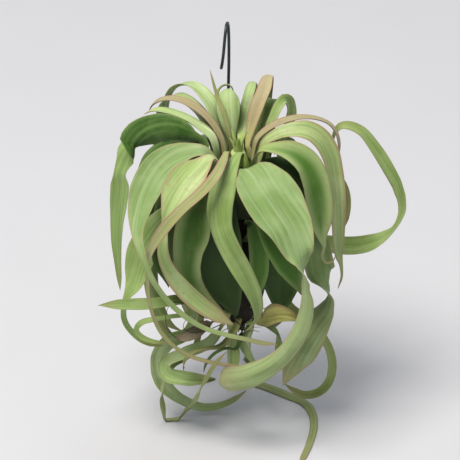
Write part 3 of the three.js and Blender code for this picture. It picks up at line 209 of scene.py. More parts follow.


# The leaves that the front view shows. A path's point is [across, up in the view, back,
# width of the blade there].
# Leaves in the darkest tone are sheets of painted shade that fill the rosette's hollow interior.
LEAVES = [
    # back and top of the rosette
    dict(
        name="leaf_back_center", tone="pale", seat=[100, 78],
        path=[[-2.7, 83.2, 8.5, 4.5], [-3.8, 91.4, 11, 8.6], [-4.3, 98.5, 14.5, 10.8],
              [-4.3, 103.5, 18.5, 10.8], [-4, 105.1, 22.5, 9], [-4, 102.6, 26, 5.9]],
        channels=[[0, 0.12], [0.35, -0.12], [1, -0.2]],
    ),
    dict(
        name="leaf_back_folded", tone="olive", seat=[122, 85], seat_width=2.4,
        path=[[-4, 84.6, 5.5, 2.2], [-6.3, 94.5, 9, 2.5], [-9.5, 103, 13, 1.8],
              [-12.6, 114.3, 16, 0.7]],
    ),
    dict(
        name="leaf_back_light", tone="pale", seat=[78, 84], seat_width=3.4,
        path=[[1.1, 82.8, 8.2, 2.7], [1.9, 89.5, 15.4, 5.4], [3.5, 98.1, 19.8, 5.6],
              [5.2, 104.9, 23, 5.2], [6.5, 108.9, 30, 4], [7.2, 104.9, 40, 4], [7.2, 94.5, 48, 4],
              [6.3, 81, 52, 3.1], [5.4, 67.5, 52, 1.4]],
        channels=[[0, 0.12], [0.25, 0.12], [0.4, -0.14], [1, -0.14]],
    ),
    dict(
        name="leaf_back_pink", tone="pink_tan", seat=[42, 83], seat_width=3.6,
        path=[[4.3, 80.5, 5.8, 2.7], [5.7, 87.8, 9, 4.5], [8.5, 97.7, 13, 6.5],
              [11.5, 105.8, 18, 6.8], [13.1, 111.4, 24, 5.4], [13.5, 109.4, 32, 5],
              [13.1, 102.2, 40, 4.5], [12.2, 90, 46, 3.6], [10.8, 76.5, 48, 1.4]],
        channels=[[0, 0.12], [0.25, 0.12], [0.42, -0.14], [1, -0.14]],
    ),
    dict(
        name="leaf_back_green", tone="mid", seat=[40, 73],
        path=[[7.5, 84.2, 14.4, 2.5], [10.9, 92.2, 18, 4.5], [14.2, 98.5, 21, 4.5],
              [15.8, 101.7, 27, 4.5], [16, 99.5, 33.5, 4.5], [15.3, 92.2, 38.5, 4],
              [14.4, 81, 41, 3.1], [13.5, 69.8, 42, 1.4]],
    ),
    dict(
        name="leaf_back_right_bend", tone="mid", seat=[18, 67],
        looks=[[0.3, [-0.3, 0.5, 0.8]], [0.5, [0.2, 0.6, 0.8]], [0.7, [0.6, 0.2, 0.8]],
               [1, [0.6, 0, 0.8]]],
        path=[[12.2, 83.2, 7, 3.6], [15.1, 91.4, 11, 4.3], [18.2, 98.5, 15, 4.3],
              [20.9, 101.5, 19, 4.7], [23.2, 99.5, 21.4, 5.9], [23.6, 94, 22.2, 5.9],
              [21.6, 87.8, 21.6, 4.7], [18.4, 81.5, 19.6, 3.1], [16.2, 76.5, 18, 1.4]],
    ),
    dict(
        name="leaf_back_left_arch", tone="pale", seat=[138, 75],
        path=[[-6.5, 82.4, 10, 4], [-9, 91.4, 13, 6.3], [-12.6, 99.9, 18, 6.8],
              [-17.1, 105.5, 23, 6.3], [-22.5, 108.5, 28, 5.6], [-27.9, 107.5, 33, 5.2],
              [-31.5, 103, 38, 5], [-33.3, 93.2, 42, 4.5], [-33.3, 78.8, 43, 3.6],
              [-31.5, 63, 43, 1.4]],
    ),
    dict(
        name="leaf_back_curl", tone="mid", seat=[112, 66], seat_width=3.4, steps=16,
        path=[[-5.4, 78.8, 14, 3.1], [-7.7, 89.5, 20, 3.1], [-9.2, 98.5, 26, 2.7],
              [-9.5, 104, 30, 2.2], [-7.7, 107.3, 31.5, 1.8], [-4.7, 108.2, 31.2, 1.4],
              [-2.5, 106.7, 30.8, 1.4], [-2, 104, 30.8, 0.8]],
    ),
    # left of the rosette
    dict(
        name="leaf_left_pale", tone="pale", seat=[154, 70],
        path=[[-12.8, 86, 7.4, 4.5], [-16.2, 94.5, 15, 6.8], [-21.6, 99.9, 21, 6.8],
              [-27.4, 102.6, 27, 6.3], [-31.9, 101.2, 31, 5.6], [-35.1, 95, 34, 5],
              [-36.9, 83.2, 35.5, 4], [-36.9, 67.5, 35, 1.4]],
    ),
    dict(
        name="leaf_left_pink", tone="pink_tan", seat=[160, 83], seat_width=2.8,
        looks=[[0.3, [0.3, 0.6, 0.75]], [0.7, [-0.1, 0.85, 0.5]], [1, [-0.6, 0.6, 0.4]]],
        path=[[-7.2, 82.8, 4, 3.1], [-11.2, 90, 7, 4.3], [-16.7, 95.9, 10, 4.5],
              [-22.9, 99.7, 13, 4.3], [-29.2, 101.5, 15, 4], [-34.6, 101, 16.5, 3.6],
              [-38.2, 99, 17.5, 2.7], [-40.1, 95.9, 18, 1.1]],
    ),
    dict(
        name="leaf_left_green", tone="pale", seat=[176, 77],
        looks=[[0.3, [0.4, 0.6, 0.7]], [0.6, [-0.1, 0.9, 0.4]], [1, [-0.5, 0.8, 0.2]]],
        path=[[-11.7, 84.2, 2.5, 4.5], [-17.1, 88.9, 5.5, 6.8], [-23.4, 92.9, 8, 7.2],
              [-29.7, 95.4, 10.5, 6.3], [-35.1, 96.5, 12, 5], [-39.1, 96.1, 13, 3.1],
              [-41.9, 94.5, 13.5, 1.1]],
    ),
    dict(
        name="leaf_far_left", tone="turned", seat=[188, 68], steps=27,
        looks=[[0.14, [0, 0.8, 0.5]], [0.22, [-0.3, 0.9, -0.2]], [0.32, [-0.35, 0.35, -0.85]],
               [0.44, [-0.4, 0.1, -0.9]], [0.465, [-1, 0, -0.1]], [0.495, [-0.5, 0, 0.9]],
               [1, [-0.3, 0, 0.95]]],
        path=[[-15.8, 81.9, 1.5, 5.9], [-22.1, 85, 2, 9], [-29.2, 87.8, 2.2, 12.6],
              [-36.9, 87.5, 3, 15.3], [-43.4, 84.2, 4.5, 16.7], [-48.4, 78.5, 5.5, 14],
              [-51.5, 72.2, 5.5, 7.7], [-52.9, 68, 4.5, 5.9], [-52.7, 62.6, 4, 9],
              [-53.3, 55.4, 3.5, 9], [-54.3, 46.4, 3, 7.2], [-54.7, 37.4, 2.5, 5],
              [-54.2, 28.4, 1.5, 3.4], [-53.6, 20.2, 0.5, 2.5], [-53.3, 15.3, 0, 1.8]],
    ),
    dict(
        name="leaf_left_behind", tone="shaded_green", seat=[164, 62],
        looks=[[0.2, [0.1, 0.7, 0.6]], [0.5, [-0.2, 0.7, 0.65]], [1, [-0.5, 0.1, 0.8]]],
        path=[[-17.1, 81, 8, 5.4], [-24.3, 83.7, 12, 6.8], [-31.9, 81.9, 15.5, 7.2],
              [-38.2, 77.9, 18, 6.3], [-42.8, 71.5, 19.5, 5.4], [-44.6, 60.8, 19.5, 4.5],
              [-44.6, 46.4, 18, 3.6], [-42.8, 31.5, 14, 1.4]],
    ),
    # right of the rosette
    dict(
        name="leaf_right_pink", tone="pink_tan", seat=[2, 83], seat_width=3,
        looks=[[0.3, [-0.3, 0.7, 0.65]], [0.7, [0, 0.85, 0.5]], [1, [0.8, 0.3, 0.4]]],
        path=[[8.6, 83.7, 2.5, 3.6], [14.4, 88.7, 6, 4], [21.2, 91.8, 8, 4], [28.4, 93.2, 9, 3.8],
              [35.1, 92.7, 9, 3.6], [40.5, 90.5, 8.5, 3.1], [43.9, 86.4, 8, 2.7],
              [45.2, 81, 7, 2.2], [45, 74.2, 6, 0.9]],
    ),
    dict(
        name="leaf_right_outer", tone="blushed", seat=[-10, 76], steps=18,
        looks=[[0.15, [-0.3, 0.6, 0.75]], [0.35, [0.1, 0.35, 0.93]], [0.55, [0.35, 0.1, 0.93]],
               [1, [0.3, 0, 0.95]]],
        path=[[11.7, 81.5, -0.5, 4.5], [17.6, 85.5, -0.8, 6.8], [24.3, 87.3, -2, 8.1],
              [31.1, 86.9, -3, 9], [36.9, 83.2, -4.2, 9], [41, 76.5, -5.2, 9], [43, 68, -6, 8.8],
              [44.1, 59, -6.4, 8.1], [44.8, 49.1, -6.6, 7.2], [45, 39.1, -6.4, 6.3],
              [45.2, 31.9, -5, 4], [46.4, 27, -4.5, 1.8], [46.8, 21.6, -4, 1.1],
              [45, 15.8, -3, 0.9]],
    ),
    dict(
        name="leaf_right_inner", tone="channelled", seat=[-44, 79], steps=24,
        looks=[[0.2, [-0.3, 0.7, 0.6]], [0.4, [0.1, 0.5, 0.85]], [0.58, [0.2, 0.1, 0.95]],
               [1, [0.2, 0, 0.95]]],
        path=[[9.9, 78.3, -9, 5.4], [16.7, 78.8, -12.5, 7.7], [23.9, 77, -16, 10.3],
              [30.2, 72.2, -18.5, 12.2], [33.8, 64.8, -20, 13.1], [35.6, 55.4, -20.5, 12.6],
              [36.7, 46.8, -20.5, 9.9], [37.4, 40.1, -20, 5], [38.5, 35.1, -19.4, 1.8],
              [37.6, 31.1, -19, 1.4], [39.4, 28.1, -18.6, 1.4], [42.3, 28.6, -18.2, 1.4],
              [43.6, 31.5, -17.8, 0.9]],
        channels=[[0, 0.12], [0.3, 0.26], [1, 0.2]],
    ),
    dict(
        name="leaf_right_shaded", tone="shade", seat=[-12, 60],
        looks=[[0.3, [0, 0.5, 0.85]], [1, [0.15, 0.1, 0.95]]],
        path=[[12.6, 71.1, -6.5, 5.9], [18, 70.7, -10, 10.8], [23.4, 67.5, -13, 13.5],
              [27, 61.2, -15.4, 14.4], [28.6, 52.6, -16.8, 12.6], [28.8, 44.6, -17.2, 8.1],
              [28.8, 38.2, -17.2, 2.2]],
    ),
    dict(
        name="leaf_right_loop", tone="mid", seat=[4, 54], steps=22,
        looks=[[0.2, [0, 0.4, 0.9]], [0.4, [0, 0.2, 0.95]], [0.5, [-0.6, 0.5, 0.6]],
               [0.85, [-0.3, 0.2, 0.9]], [1, [-0.5, 0.6, 0.6]]],
        path=[[22.1, 45, 8, 6.3], [34, 38, 12, 8.1], [47, 35.6, 13, 8.3], [57.1, 36.2, 12, 8.1],
              [65.7, 39.4, 11, 6.3], [71.1, 44.1, 10, 3.6], [74.2, 52.2, 9, 5],
              [72.2, 61.6, 9, 6.1], [67.5, 70.7, 10, 5.9], [61.6, 79.7, 11, 5.2],
              [55.6, 86.9, 12, 4.5], [50, 89.5, 13, 4], [45.9, 89.3, 13.5, 3.4],
              [43.2, 85.7, 14, 2.5], [42.3, 79.2, 14, 1.4]],
    ),
    dict(
        name="leaf_right_behind", tone="olive", seat=[32, 50],
        path=[[20, 58.1, 15, 5.4], [31.1, 66.2, 21, 7.2], [40.1, 68.9, 23, 7.7],
              [45.9, 65.2, 22.5, 7.2], [49.3, 58.1, 21, 6.3], [49.5, 50, 19, 5],
              [46.4, 40.5, 17, 1.4]],
    ),
    # front of the rosette
    dict(
        name="leaf_front_wave", tone="mid", seat=[-84, 84], seat_width=3.6,
        looks=[[0.12, [-0.1, 0.7, 0.7]], [0.35, [-0.3, 0.3, 0.9]], [0.6, [-0.1, 0, 1]],
               [0.85, [0.6, 0, 0.8]], [1, [0.8, 0, 0.5]]],
        path=[[0.5, 77, -8, 4.3], [-4, 69.8, -17, 8.6], [-6.9, 60.8, -24.5, 12.2],
              [-8.3, 51.3, -30, 11.7], [-7.2, 42.8, -33, 10.1], [-3.6, 34.2, -34.5, 9.7],
              [0.9, 26.1, -34.5, 9.2], [5.2, 18, -33.5, 8.1], [8.1, 10.8, -32, 6.5],
              [8.8, 4.5, -30, 5.4], [6.3, -0.5, -28, 4], [3.1, -2.7, -27, 1.8]],
        channels=[[0, 0.12], [0.12, -0.08], [0.45, -0.08], [0.7, 0.16], [1, 0.16]],
    ),
    dict(
        name="leaf_front_left_curl", tone="curl", seat=[-122, 83], seat_width=2.8, steps=24,
        looks=[[0.1, [-0.1, 0.6, 0.8]], [0.4, [-0.4, 0.2, 0.9]], [0.6, [-0.4, 0.2, 0.9]],
               [0.8, [-0.2, 0.6, 0.8]], [1, [0, 0.7, 0.75]]],
        path=[[-5, 77.4, -11.2, 2.3], [-6.7, 73.1, -19, 4], [-10.3, 66.2, -28, 5],
              [-17.1, 58.5, -35, 5.4], [-24.8, 51.8, -38.6, 5.4], [-31.9, 44.1, -39.8, 5.4],
              [-37.4, 36, -38, 4.5], [-40.1, 28.4, -34.4, 3.1], [-40.3, 20.7, -32, 2.2],
              [-39.8, 12.6, -31, 2], [-38, 4.5, -30.4, 2], [-34.2, -3.6, -30, 2],
              [-28.8, -9.5, -30, 2], [-21.6, -14, -29.4, 2], [-14, -16.4, -29.2, 2],
              [-5.4, -18, -29.2, 2], [4, -18.9, -29.2, 1.4]],
    ),
    dict(
        name="leaf_front_left_broad", tone="silvery", seat=[-156, 71], steps=24,
        looks=[[0.08, [-0.2, 0.7, 0.6]], [0.25, [-0.3, 0.4, 0.9]], [0.4, [-0.5, 0, 0.85]],
               [0.55, [-0.2, 0.2, 0.95]], [1, [0, 0.3, 0.95]]],
        path=[[-14.4, 77.4, -4.6, 5.4], [-21.2, 77.9, -5.6, 9.5], [-28.8, 75.2, -8.4, 13.5],
              [-35.3, 69.5, -12, 15.8], [-40.3, 61.2, -16.8, 16.2], [-43.4, 51.8, -22.6, 12.6],
              [-44.6, 41.9, -29.6, 5.9], [-42.5, 31.9, -36.8, 3.4], [-38.7, 22.1, -40.4, 2.7],
              [-32.9, 13.1, -40.6, 2.5], [-25.2, 5.4, -40.4, 2.5], [-15.8, -0.7, -39.6, 2.2],
              [-5.9, -4, -38, 2.2], [4, -6.3, -36, 2.1], [10.8, -7.9, -34, 2.1],
              [18.4, -8.6, -32, 1.2]],
    ),
    dict(
        name="leaf_front_left_pale", tone="blushed", seat=[-138, 77], steps=20,
        looks=[[0.08, [0, 0.8, 0.6]], [0.25, [-0.1, 0.3, 0.95]], [0.45, [-0.3, 0.1, 0.9]],
               [1, [-0.1, 0.3, 0.95]]],
        path=[[-11.7, 75.2, -9.5, 4.5], [-17.1, 70.7, -17, 10.3], [-22.7, 65.2, -23, 15.3],
              [-27.4, 58.5, -27, 14], [-30.8, 51.3, -29.4, 7.7], [-32.4, 45, -30, 3.6],
              [-33.1, 38.7, -31, 4.3], [-33.1, 31.9, -31.4, 5.4], [-30.8, 25.2, -31, 6.5],
              [-26.1, 18.2, -30, 7.9], [-19.8, 11.7, -29.2, 8.1], [-12.4, 6.1, -28.4, 6.8],
              [-5.9, 2.2, -27.4, 4.5], [-1.4, 0, -26, 1.8]],
    ),
    dict(
        name="leaf_front_trough", tone="channelled", seat=[-132, 63],
        looks=[[0.2, [-0.2, 0.2, 0.95]], [1, [0.1, 0, 1]]],
        path=[[-14, 59.4, -14, 6.8], [-18, 50.9, -19, 14], [-20, 41.9, -22, 16.2],
              [-22.1, 33.3, -22.8, 13.5], [-22.5, 25.2, -22.6, 11.7], [-20.7, 17.6, -22.6, 10.8],
              [-15.8, 10.8, -22.2, 9], [-9.2, 5.2, -20, 5.9], [-3.1, 1.8, -16, 2.2]],
        channels=[[0, 0.12], [0.3, 0.24], [1, 0.18]],
    ),
    dict(
        name="leaf_front_inner_left", tone="shade", seat=[-100, 65],
        looks=[[0.2, [0, 0.2, 1]], [1, [0, 0, 1]]],
        path=[[-4, 59.9, -13, 5.9], [-6.3, 50.4, -16, 12.6], [-7.7, 39.6, -17.4, 18.9],
              [-7.9, 28.4, -17.4, 20.7], [-5.9, 17.6, -16.4, 18], [-2.2, 9, -15, 10.3],
              [-0.5, 3.1, -13, 4]],
    ),
    dict(
        name="leaf_front_inner_right", tone="shaded_green", seat=[-70, 50],
        looks=[[0.2, [0, 0.2, 1]], [1, [0.1, 0, 1]]],
        path=[[5.9, 46.4, -17, 5.4], [7.9, 40.5, -19, 7.7], [9.2, 33.8, -20, 9],
              [9.5, 25.7, -20, 8.6], [8.8, 17.6, -19.4, 5.9], [7.7, 9.9, -18, 1.8]],
    ),
    dict(
        name="leaf_front_right_under", tone="shaded_green", seat=[-40, 62],
        looks=[[0.2, [0.1, 0.2, 1]], [1, [0.1, 0, 1]]],
        path=[[9.9, 60.3, -14.4, 6.8], [13.1, 51.8, -22, 13.5], [17.1, 40.1, -27, 15.3],
              [22.1, 28.8, -30, 13.1], [25.7, 20.2, -30.6, 8.1], [28.4, 13.5, -30, 2.2]],
    ),
    dict(
        name="leaf_front_shaded", tone="shade", seat=[-44, 44],
        looks=[[0.2, [0.1, 0.2, 1]], [1, [0.1, 0, 1]]],
        path=[[11.7, 40.1, -11, 7.2], [15.8, 34.2, -13.4, 12.2], [18.4, 27, -14.4, 17.1],
              [19.6, 18.4, -14.4, 18.4], [19.6, 10.3, -13.2, 14.4], [19.4, 4, -12, 4]],
    ),
    dict(
        name="leaf_front_right_broad", tone="silvery", seat=[-64, 71], steps=30,
        looks=[[0.08, [-0.05, 0.7, 0.7]], [0.25, [0.2, 0.4, 0.9]], [0.4, [0.3, 0.1, 0.95]],
               [0.455, [1, 0, 0]], [0.51, [0.3, 0, -0.95]], [0.68, [0.2, 0.3, -0.9]],
               [0.88, [-0.1, 0.2, -0.95]], [0.925, [0.9, 0.1, -0.5]], [0.96, [0.6, 0, 0.8]],
               [1, [0, 0, 1]]],
        path=[[3.8, 70.4, -13.4, 8.1], [7.3, 68, -18.8, 18.2], [11, 61.9, -25.4, 25.2],
              [16.4, 53.6, -31.4, 27], [22.5, 44.1, -36.4, 22.1], [25.7, 36, -39.4, 16.7],
              [28.1, 28.4, -41.2, 10.3], [29.5, 21.6, -42, 5.9], [29.9, 16.2, -42, 3.8],
              [30.6, 10.8, -42, 5.6], [29.9, 4.5, -41.6, 7.2], [27.7, -2.2, -41, 7.7],
              [23.9, -9, -40, 7.7], [18.4, -15.3, -39, 8.6], [11.2, -20.2, -38, 9.9],
              [3.1, -23.4, -37, 11.7], [-3.1, -24.3, -36, 11.7], [-7.4, -25, -32.4, 10.3],
              [-7, -25.4, -28, 7.2], [-3.1, -25.4, -25.4, 3.6]],
    ),
    # lower right
    dict(
        name="leaf_lower_right_broad", tone="silvery", seat=[-24, 50], steps=20,
        looks=[[0.15, [-0.1, 0.65, 0.75]], [0.4, [-0.1, 0.5, 0.85]], [0.5, [1, 0.2, 0.2]],
               [0.58, [0.5, -0.2, -0.9]], [1, [0.3, 0, -0.95]]],
        path=[[22.9, 43.2, -9.4, 6.3], [29.2, 42.3, -12, 10.8], [33.3, 37.4, -13.6, 13.1],
              [35.3, 31.1, -14.4, 13.5], [36.9, 24.8, -14.8, 13.5], [39.4, 18.4, -15, 10.8],
              [41.4, 13.1, -15, 6.3], [39.6, 6.8, -15, 9.9], [35.1, 0, -15, 14.8],
              [30.2, -7.7, -14.6, 16.2], [25.7, -15.3, -14, 15.3], [22.5, -22.1, -13.4, 12.2],
              [20.5, -27.9, -13, 6.3]],
    ),
    dict(
        name="leaf_lower_right_curl", tone="green_olive", seat=[-8, 36], seat_width=4, steps=14,
        looks=[[0.15, [0, 0.4, 0.9]], [0.5, [0.2, 0.1, 0.95]], [1, [0, 0.4, 0.9]]],
        path=[[22.1, 9.9, -4, 4], [28.8, 3.6, -6.4, 4], [34.6, -0.9, -6.4, 4], [39.1, -6.8, -5, 4],
              [42.1, -13.5, -3, 4], [43, -20.7, -1, 4], [41.2, -27.4, 1, 4], [36.5, -31.9, 2.4, 4],
              [30.6, -32.9, 3, 3.8], [25.2, -30.6, 2.6, 3.4], [21.2, -27.4, 2, 1.8]],
    ),
    dict(
        name="leaf_trailing", tone="green_olive", seat=[60, 14], seat_width=4, steps=24,
        flattened=True,
        looks=[[0.25, [-0.5, 0.6, 0.6]], [0.42, [0, 0.87, 0.5]], [1, [0, 0.87, 0.5]]],
        path=[[7, 4, 17, 4], [5, -9, 24, 4.5], [5, -20.9, 27.5, 5], on_floor(9, 25.5, 5.2),
              on_floor(16, 21, 5.6), on_floor(23.5, 15, 5.4), on_floor(30.5, 9, 4.8),
              on_floor(34, 0.5, 4), on_floor(34.7, -11.5, 3.6), on_floor(32.4, -27, 3.4),
              on_floor(29.3, -39, 3), on_floor(27.5, -44.5, 1.6)],
        channels=[[0, 0.12], [0.25, 0.12], [0.38, 0], [1, 0]],
    ),
    dict(
        name="leaf_olive_sheath", tone="sheath", seat=[-56, 15], seat_width=4,
        looks=[[0.2, [0.3, 0.5, 0.8]], [0.5, [0, 0.5, 0.85]], [1, [0, 0.3, 0.95]]],
        path=[[9.5, 1.8, -17, 4.5], [13.1, 3.1, -21, 9.9], [17.6, 4.3, -24, 12.6],
              [22.1, 4, -26, 12.2], [25.7, 2.7, -27, 9], [27.9, 1.4, -27.4, 3.6]],
        channels=[[0, 0.12], [0.4, 0.3], [1, 0.3]],
    ),
    dict(
        name="leaf_under_right", tone="mid", seat=[-24, 9], rise=-3,
        path=[[17.1, -2.7, -7, 4], [18.9, -8.1, -6, 4], [18.4, -14, -5, 4],
              [17.1, -19.8, -4.6, 1.8]],
    ),
    dict(
        name="leaf_under_center", tone="pale", seat=[-50, 6], seat_width=3.4, rise=-3,
        path=[[3.1, -8.6, -9, 5], [5.4, -14, -10, 5.4], [8.6, -19.4, -9, 5],
              [12.6, -25.2, -7, 2.2]],
    ),
    dict(
        name="leaf_under_left", tone="pale", seat=[-108, 6], seat_width=3.4, rise=-3,
        path=[[-2.2, -8.1, -9, 5], [-2.2, -13.1, -10, 5.9], [-2, -18.4, -9.5, 5.4],
              [-1.6, -24.3, -8, 2.2]],
    ),
    # lower left
    dict(
        name="leaf_left_pointing", tone="mid", seat=[196, 34],
        looks=[[0.3, [0, 0.5, 0.8]], [1, [0, 0.4, 0.9]]],
        path=[[-20.2, 13.1, -9, 5.4], [-29.7, 10.8, -14, 5.9], [-39.6, 9.5, -17, 5.9],
              [-49.5, 9.2, -18, 5.2], [-57.6, 9, -17.4, 4.3], [-63, 8.8, -17, 2.2]],
    ),
    dict(
        name="leaf_left_hanging", tone="mid", seat=[176, 52], steps=20,
        looks=[[0.2, [-0.2, 0.6, 0.7]], [0.4, [-0.3, 0.1, 0.9]], [1, [-0.3, 0.1, 0.95]]],
        path=[[-20, 54.9, -1, 6.8], [-29.7, 50.4, -4.6, 10.3], [-37.6, 42.3, -7, 13.5],
              [-42.5, 33.8, -8.6, 14], [-44.8, 25.7, -9.6, 12.6], [-47, 18.4, -10.6, 8.6],
              [-50, 12.6, -12, 3.8], [-51.5, 7.2, -13.2, 2.7], [-51.1, 1.8, -13, 2.7],
              [-48.1, -3.1, -13, 2.7], [-43.6, -7, -13, 2.7], [-38.7, -9, -12.6, 2.5],
              [-33.8, -9.9, -12, 1.4]],
    ),
    dict(
        name="leaf_left_shaded", tone="shade", seat=[202, 56],
        looks=[[0.2, [-0.2, 0.3, 0.9]], [1, [-0.1, 0, 1]]],
        path=[[-15.3, 55.8, -9, 5.9], [-22.1, 51.3, -12, 9.5], [-28.4, 43.6, -15.6, 11.7],
              [-31.9, 35.1, -17, 12.6], [-32.9, 27.4, -17.4, 9.9], [-31.9, 21.2, -17.4, 5.4],
              [-31.1, 16.7, -17.4, 2]],
    ),
    dict(
        name="leaf_left_small_loop", tone="mid", seat=[222, 30], seat_width=3,
        looks=[[0.3, [0, 0.7, 0.7]], [0.6, [-0.6, 0.3, 0.8]], [1, [0, 0.6, 0.8]]],
        path=[[-20, 6.1, -15, 2.7], [-31.1, 3.6, -19, 2.7], [-38, 2.5, -21, 2.7],
              [-43.4, 1.1, -21, 2.7], [-45.9, -2, -21, 2.5], [-43.4, -5.4, -21, 2.5],
              [-38, -7.7, -21, 2.2], [-31.1, -8.1, -20, 1.4]],
    ),
    dict(
        name="leaf_lower_left_band", tone="pale", seat=[188, 18], steps=17,
        looks=[[0.3, [-0.3, 0.3, 0.9]], [0.6, [-0.2, 0.4, 0.9]], [1, [0, 0.5, 0.8]]],
        path=[[-22.1, -3.6, -5, 5.9], [-31.1, -8.1, -8, 7], [-35.8, -14.2, -9, 7.2],
              [-36.2, -21.2, -8, 7.2], [-33.5, -27.9, -6, 6.8], [-28.4, -33.1, -4, 5.9],
              [-22.1, -36.9, -1, 5], [-15.8, -38.7, 1, 4], [-8.1, -37.8, 2, 3.6],
              [-0.9, -34.6, 3, 3.1], [4, -30.8, 3, 1.8]],
    ),
    dict(
        name="leaf_lower_left_trough", tone="pale", seat=[246, 14], seat_width=4, rise=-3,
        looks=[[0.4, [-0.3, 0.3, 0.9]], [1, [0, 0.5, 0.8]]],
        path=[[-13.1, -8.1, -14, 5], [-23.9, -13.1, -16, 5.9], [-33.1, -17.6, -18, 5.9],
              [-32.4, -22.3, -20, 6.8], [-24.3, -24.8, -21, 7.7], [-15.8, -25.4, -20.4, 7],
              [-10.3, -25.2, -19, 5]],
        channels=[[0, 0.12], [0.5, 0.26], [1, 0.3]],
    ),
    dict(
        name="leaf_lower_left_loop", tone="green_olive", seat=[205, 21], seat_width=3, steps=24,
        flattened=True,
        looks=[[0.2, [0, 0.5, 0.8]], [0.4, [-0.5, 0.4, 0.8]], [0.5, [0, 0.87, 0.5]],
               [0.7, [0.4, 0.4, 0.8]], [1, [0.4, 0.4, 0.8]]],
        path=[[-20.2, -12.2, -9.2, 2.7], [-30.2, -19.8, -13.5, 2.7], [-34.4, -29.9, -13, 2.7],
              [-34.4, -36.5, -9.5, 2.5], on_floor(-32.6, -6.5, 2.4), on_floor(-28.2, -6, 2.4),
              [-24.3, -40.5, -8.6, 2.2], [-20, -35.1, -18, 2.2], [-16.7, -28.8, -29.4, 2.2],
              [-12.6, -20.9, -33, 2.2], [-9.5, -16.4, -33.4, 1.8], [-5, -11.7, -33.4, 1.1]],
    ),
    dict(
        name="leaf_lower_left_short", tone="olive", seat=[270, 10], seat_width=3, rise=-3,
        path=[[-7, -9, -15, 3.6], [-14, -10.6, -20, 3.6], [-20, -11.9, -24, 3.6],
              [-24.1, -16, -26, 3.1], [-24.5, -20.7, -26.4, 1.4]],
    ),
    dict(
        name="leaf_lower_thin_arc", tone="shade", seat=[283, 5], seat_width=3, rise=-3, steps=12,
        looks=[[0.3, [0, 0.7, 0.7]], [1, [-0.3, 0.6, 0.7]]],
        path=[[0.9, -7.2, -13, 2.2], [-0.9, -11, -17, 2], [-5.4, -10.6, -21, 2],
              [-10.8, -13.1, -23, 1.9], [-14.4, -17.6, -23.4, 1.8], [-15.5, -21.6, -23, 1.1]],
    ),
    dict(
        name="sheath_dry_left", tone="dry", seat=[216, 5], seat_width=4, rise=1,
        looks=[[0.5, [0, 0.5, 0.8]], [1, [0, 0.3, 0.9]]],
        path=[[-15.8, -1.4, -11, 5.4], [-20.2, -4, -16, 7.2], [-24.8, -5.9, -20, 6.8],
              [-29.2, -5.6, -22, 2.2]],
    ),
]


# ---------------------------------------------------------------- colours and finishes

# The sRGB colours of a leaf: its upper face, its under face, its clasping root, its margin and its
# bloom of scales. Then how strong the margin's flush is, the share of the length where the root's
# colour ends, the flush's width as a multiple, how light the rim beside it is, and the sheen.
# The darker under faces are partly the leaf's own colour and partly painted shade of its hollow
# side, and the two darkest greens are the leaf's green darkened with painted shade.
Tone = namedtuple(
    "Tone", "upper under root margin bloom flush root_end flush_width rim sheen",
    defaults=(0.14, 1.0, 0.1, 0.2))
TONES = {
    "pale": Tone("#a8c07c", "#96ac64", "#b4c670", "#9a8560", "#ccdab0", 0.35, root_end=0.2),
    "blushed": Tone("#a3ba72", "#8ca05a", "#b8c66c", "#a8866a", "#c3d09a", 0.8, root_end=0.2,
                    flush_width=2.0),
    # Its dark root colour is painted shade beneath the crown.
    "silvery": Tone("#7f9c58", "#8fa26a", "#35471e", "#a08464", "#a2b884", 0.5, flush_width=1.7),
    "mid": Tone("#86a254", "#688738", "#8c9c4a", "#8a7a52", "#aabd7e", 0.4, rim=0.15),
    # Its dark green is painted shade in the channel, and its wide pale rim is painted light on the
    # raised margins.
    "channelled": Tone("#4c7a1e", "#4f7228", "#a9bd66", "#96795a", "#6f8f48", 0.6, root_end=0.34,
                       flush_width=1.4, rim=0.85, sheen=0.06),
    # Its dark under face is painted shade on the hollow side of the arching leaf.
    "turned": Tone("#97b06a", "#2f5a0c", "#8fa658", "#7f8550", "#7c9c54", 0.4, sheen=0.06),
    # Leaf green darkened with painted shade, for leaves that sit behind others.
    "shaded_green": Tone("#42701a", "#355615", "#3c5220", "#6c7444", "#587830", 0.35, rim=0.25,
                 sheen=0.06),
    # Near-black green: painted shade for the leaves that fill the rosette's shadowed interior.
    "shade": Tone("#2c4c10", "#22380e", "#22340d", "#343f22", "#3a5c1c", 0.3, sheen=0.06),
    "olive": Tone("#98985a", "#858748", "#8f8a50", "#97825c", "#a9a872", 0.5, rim=0.2),
    "green_olive": Tone("#8a9850", "#75863c", "#98a25a", "#8f7e56", "#a0ad6e", 0.5,
                        flush_width=1.2, rim=0.2),
    "sheath": Tone("#b8b262", "#98944c", "#8f8444", "#846848", "#c4bf7c", 0.8, flush_width=1.6),
    "curl": Tone("#93965a", "#7f8a48", "#a0a060", "#a37c66", "#a8aa7a", 0.9, flush_width=2.2,
                 rim=0.3),
    "young": Tone("#a6bc66", "#94ac58", "#b2c468", "#9c9a58", "#c2d28c", 0.2, root_end=1.4),
    "pink_tan": Tone("#a3906c", "#8d9a60", "#b3bd6c", "#a67d6a", "#b2a688", 1.0, root_end=0.2,
                     flush_width=1.8, rim=0.3),
    "dry": Tone("#b3a28e", "#9a8873", "#6f5f48", "#8a7458", "#ada18c", 0.8, rim=0.0),
}


def srgb(hex_colour):
    """An sRGB hex colour as a linear RGBA one."""
    channels = []
    for start in (1, 3, 5):
        value = int(hex_colour[start:start + 2], 16) / 255
        channels.append(value / 12.92 if value <= 0.04045 else ((value + 0.055) / 1.055) ** 2.4)
    return (*channels, 1.0)


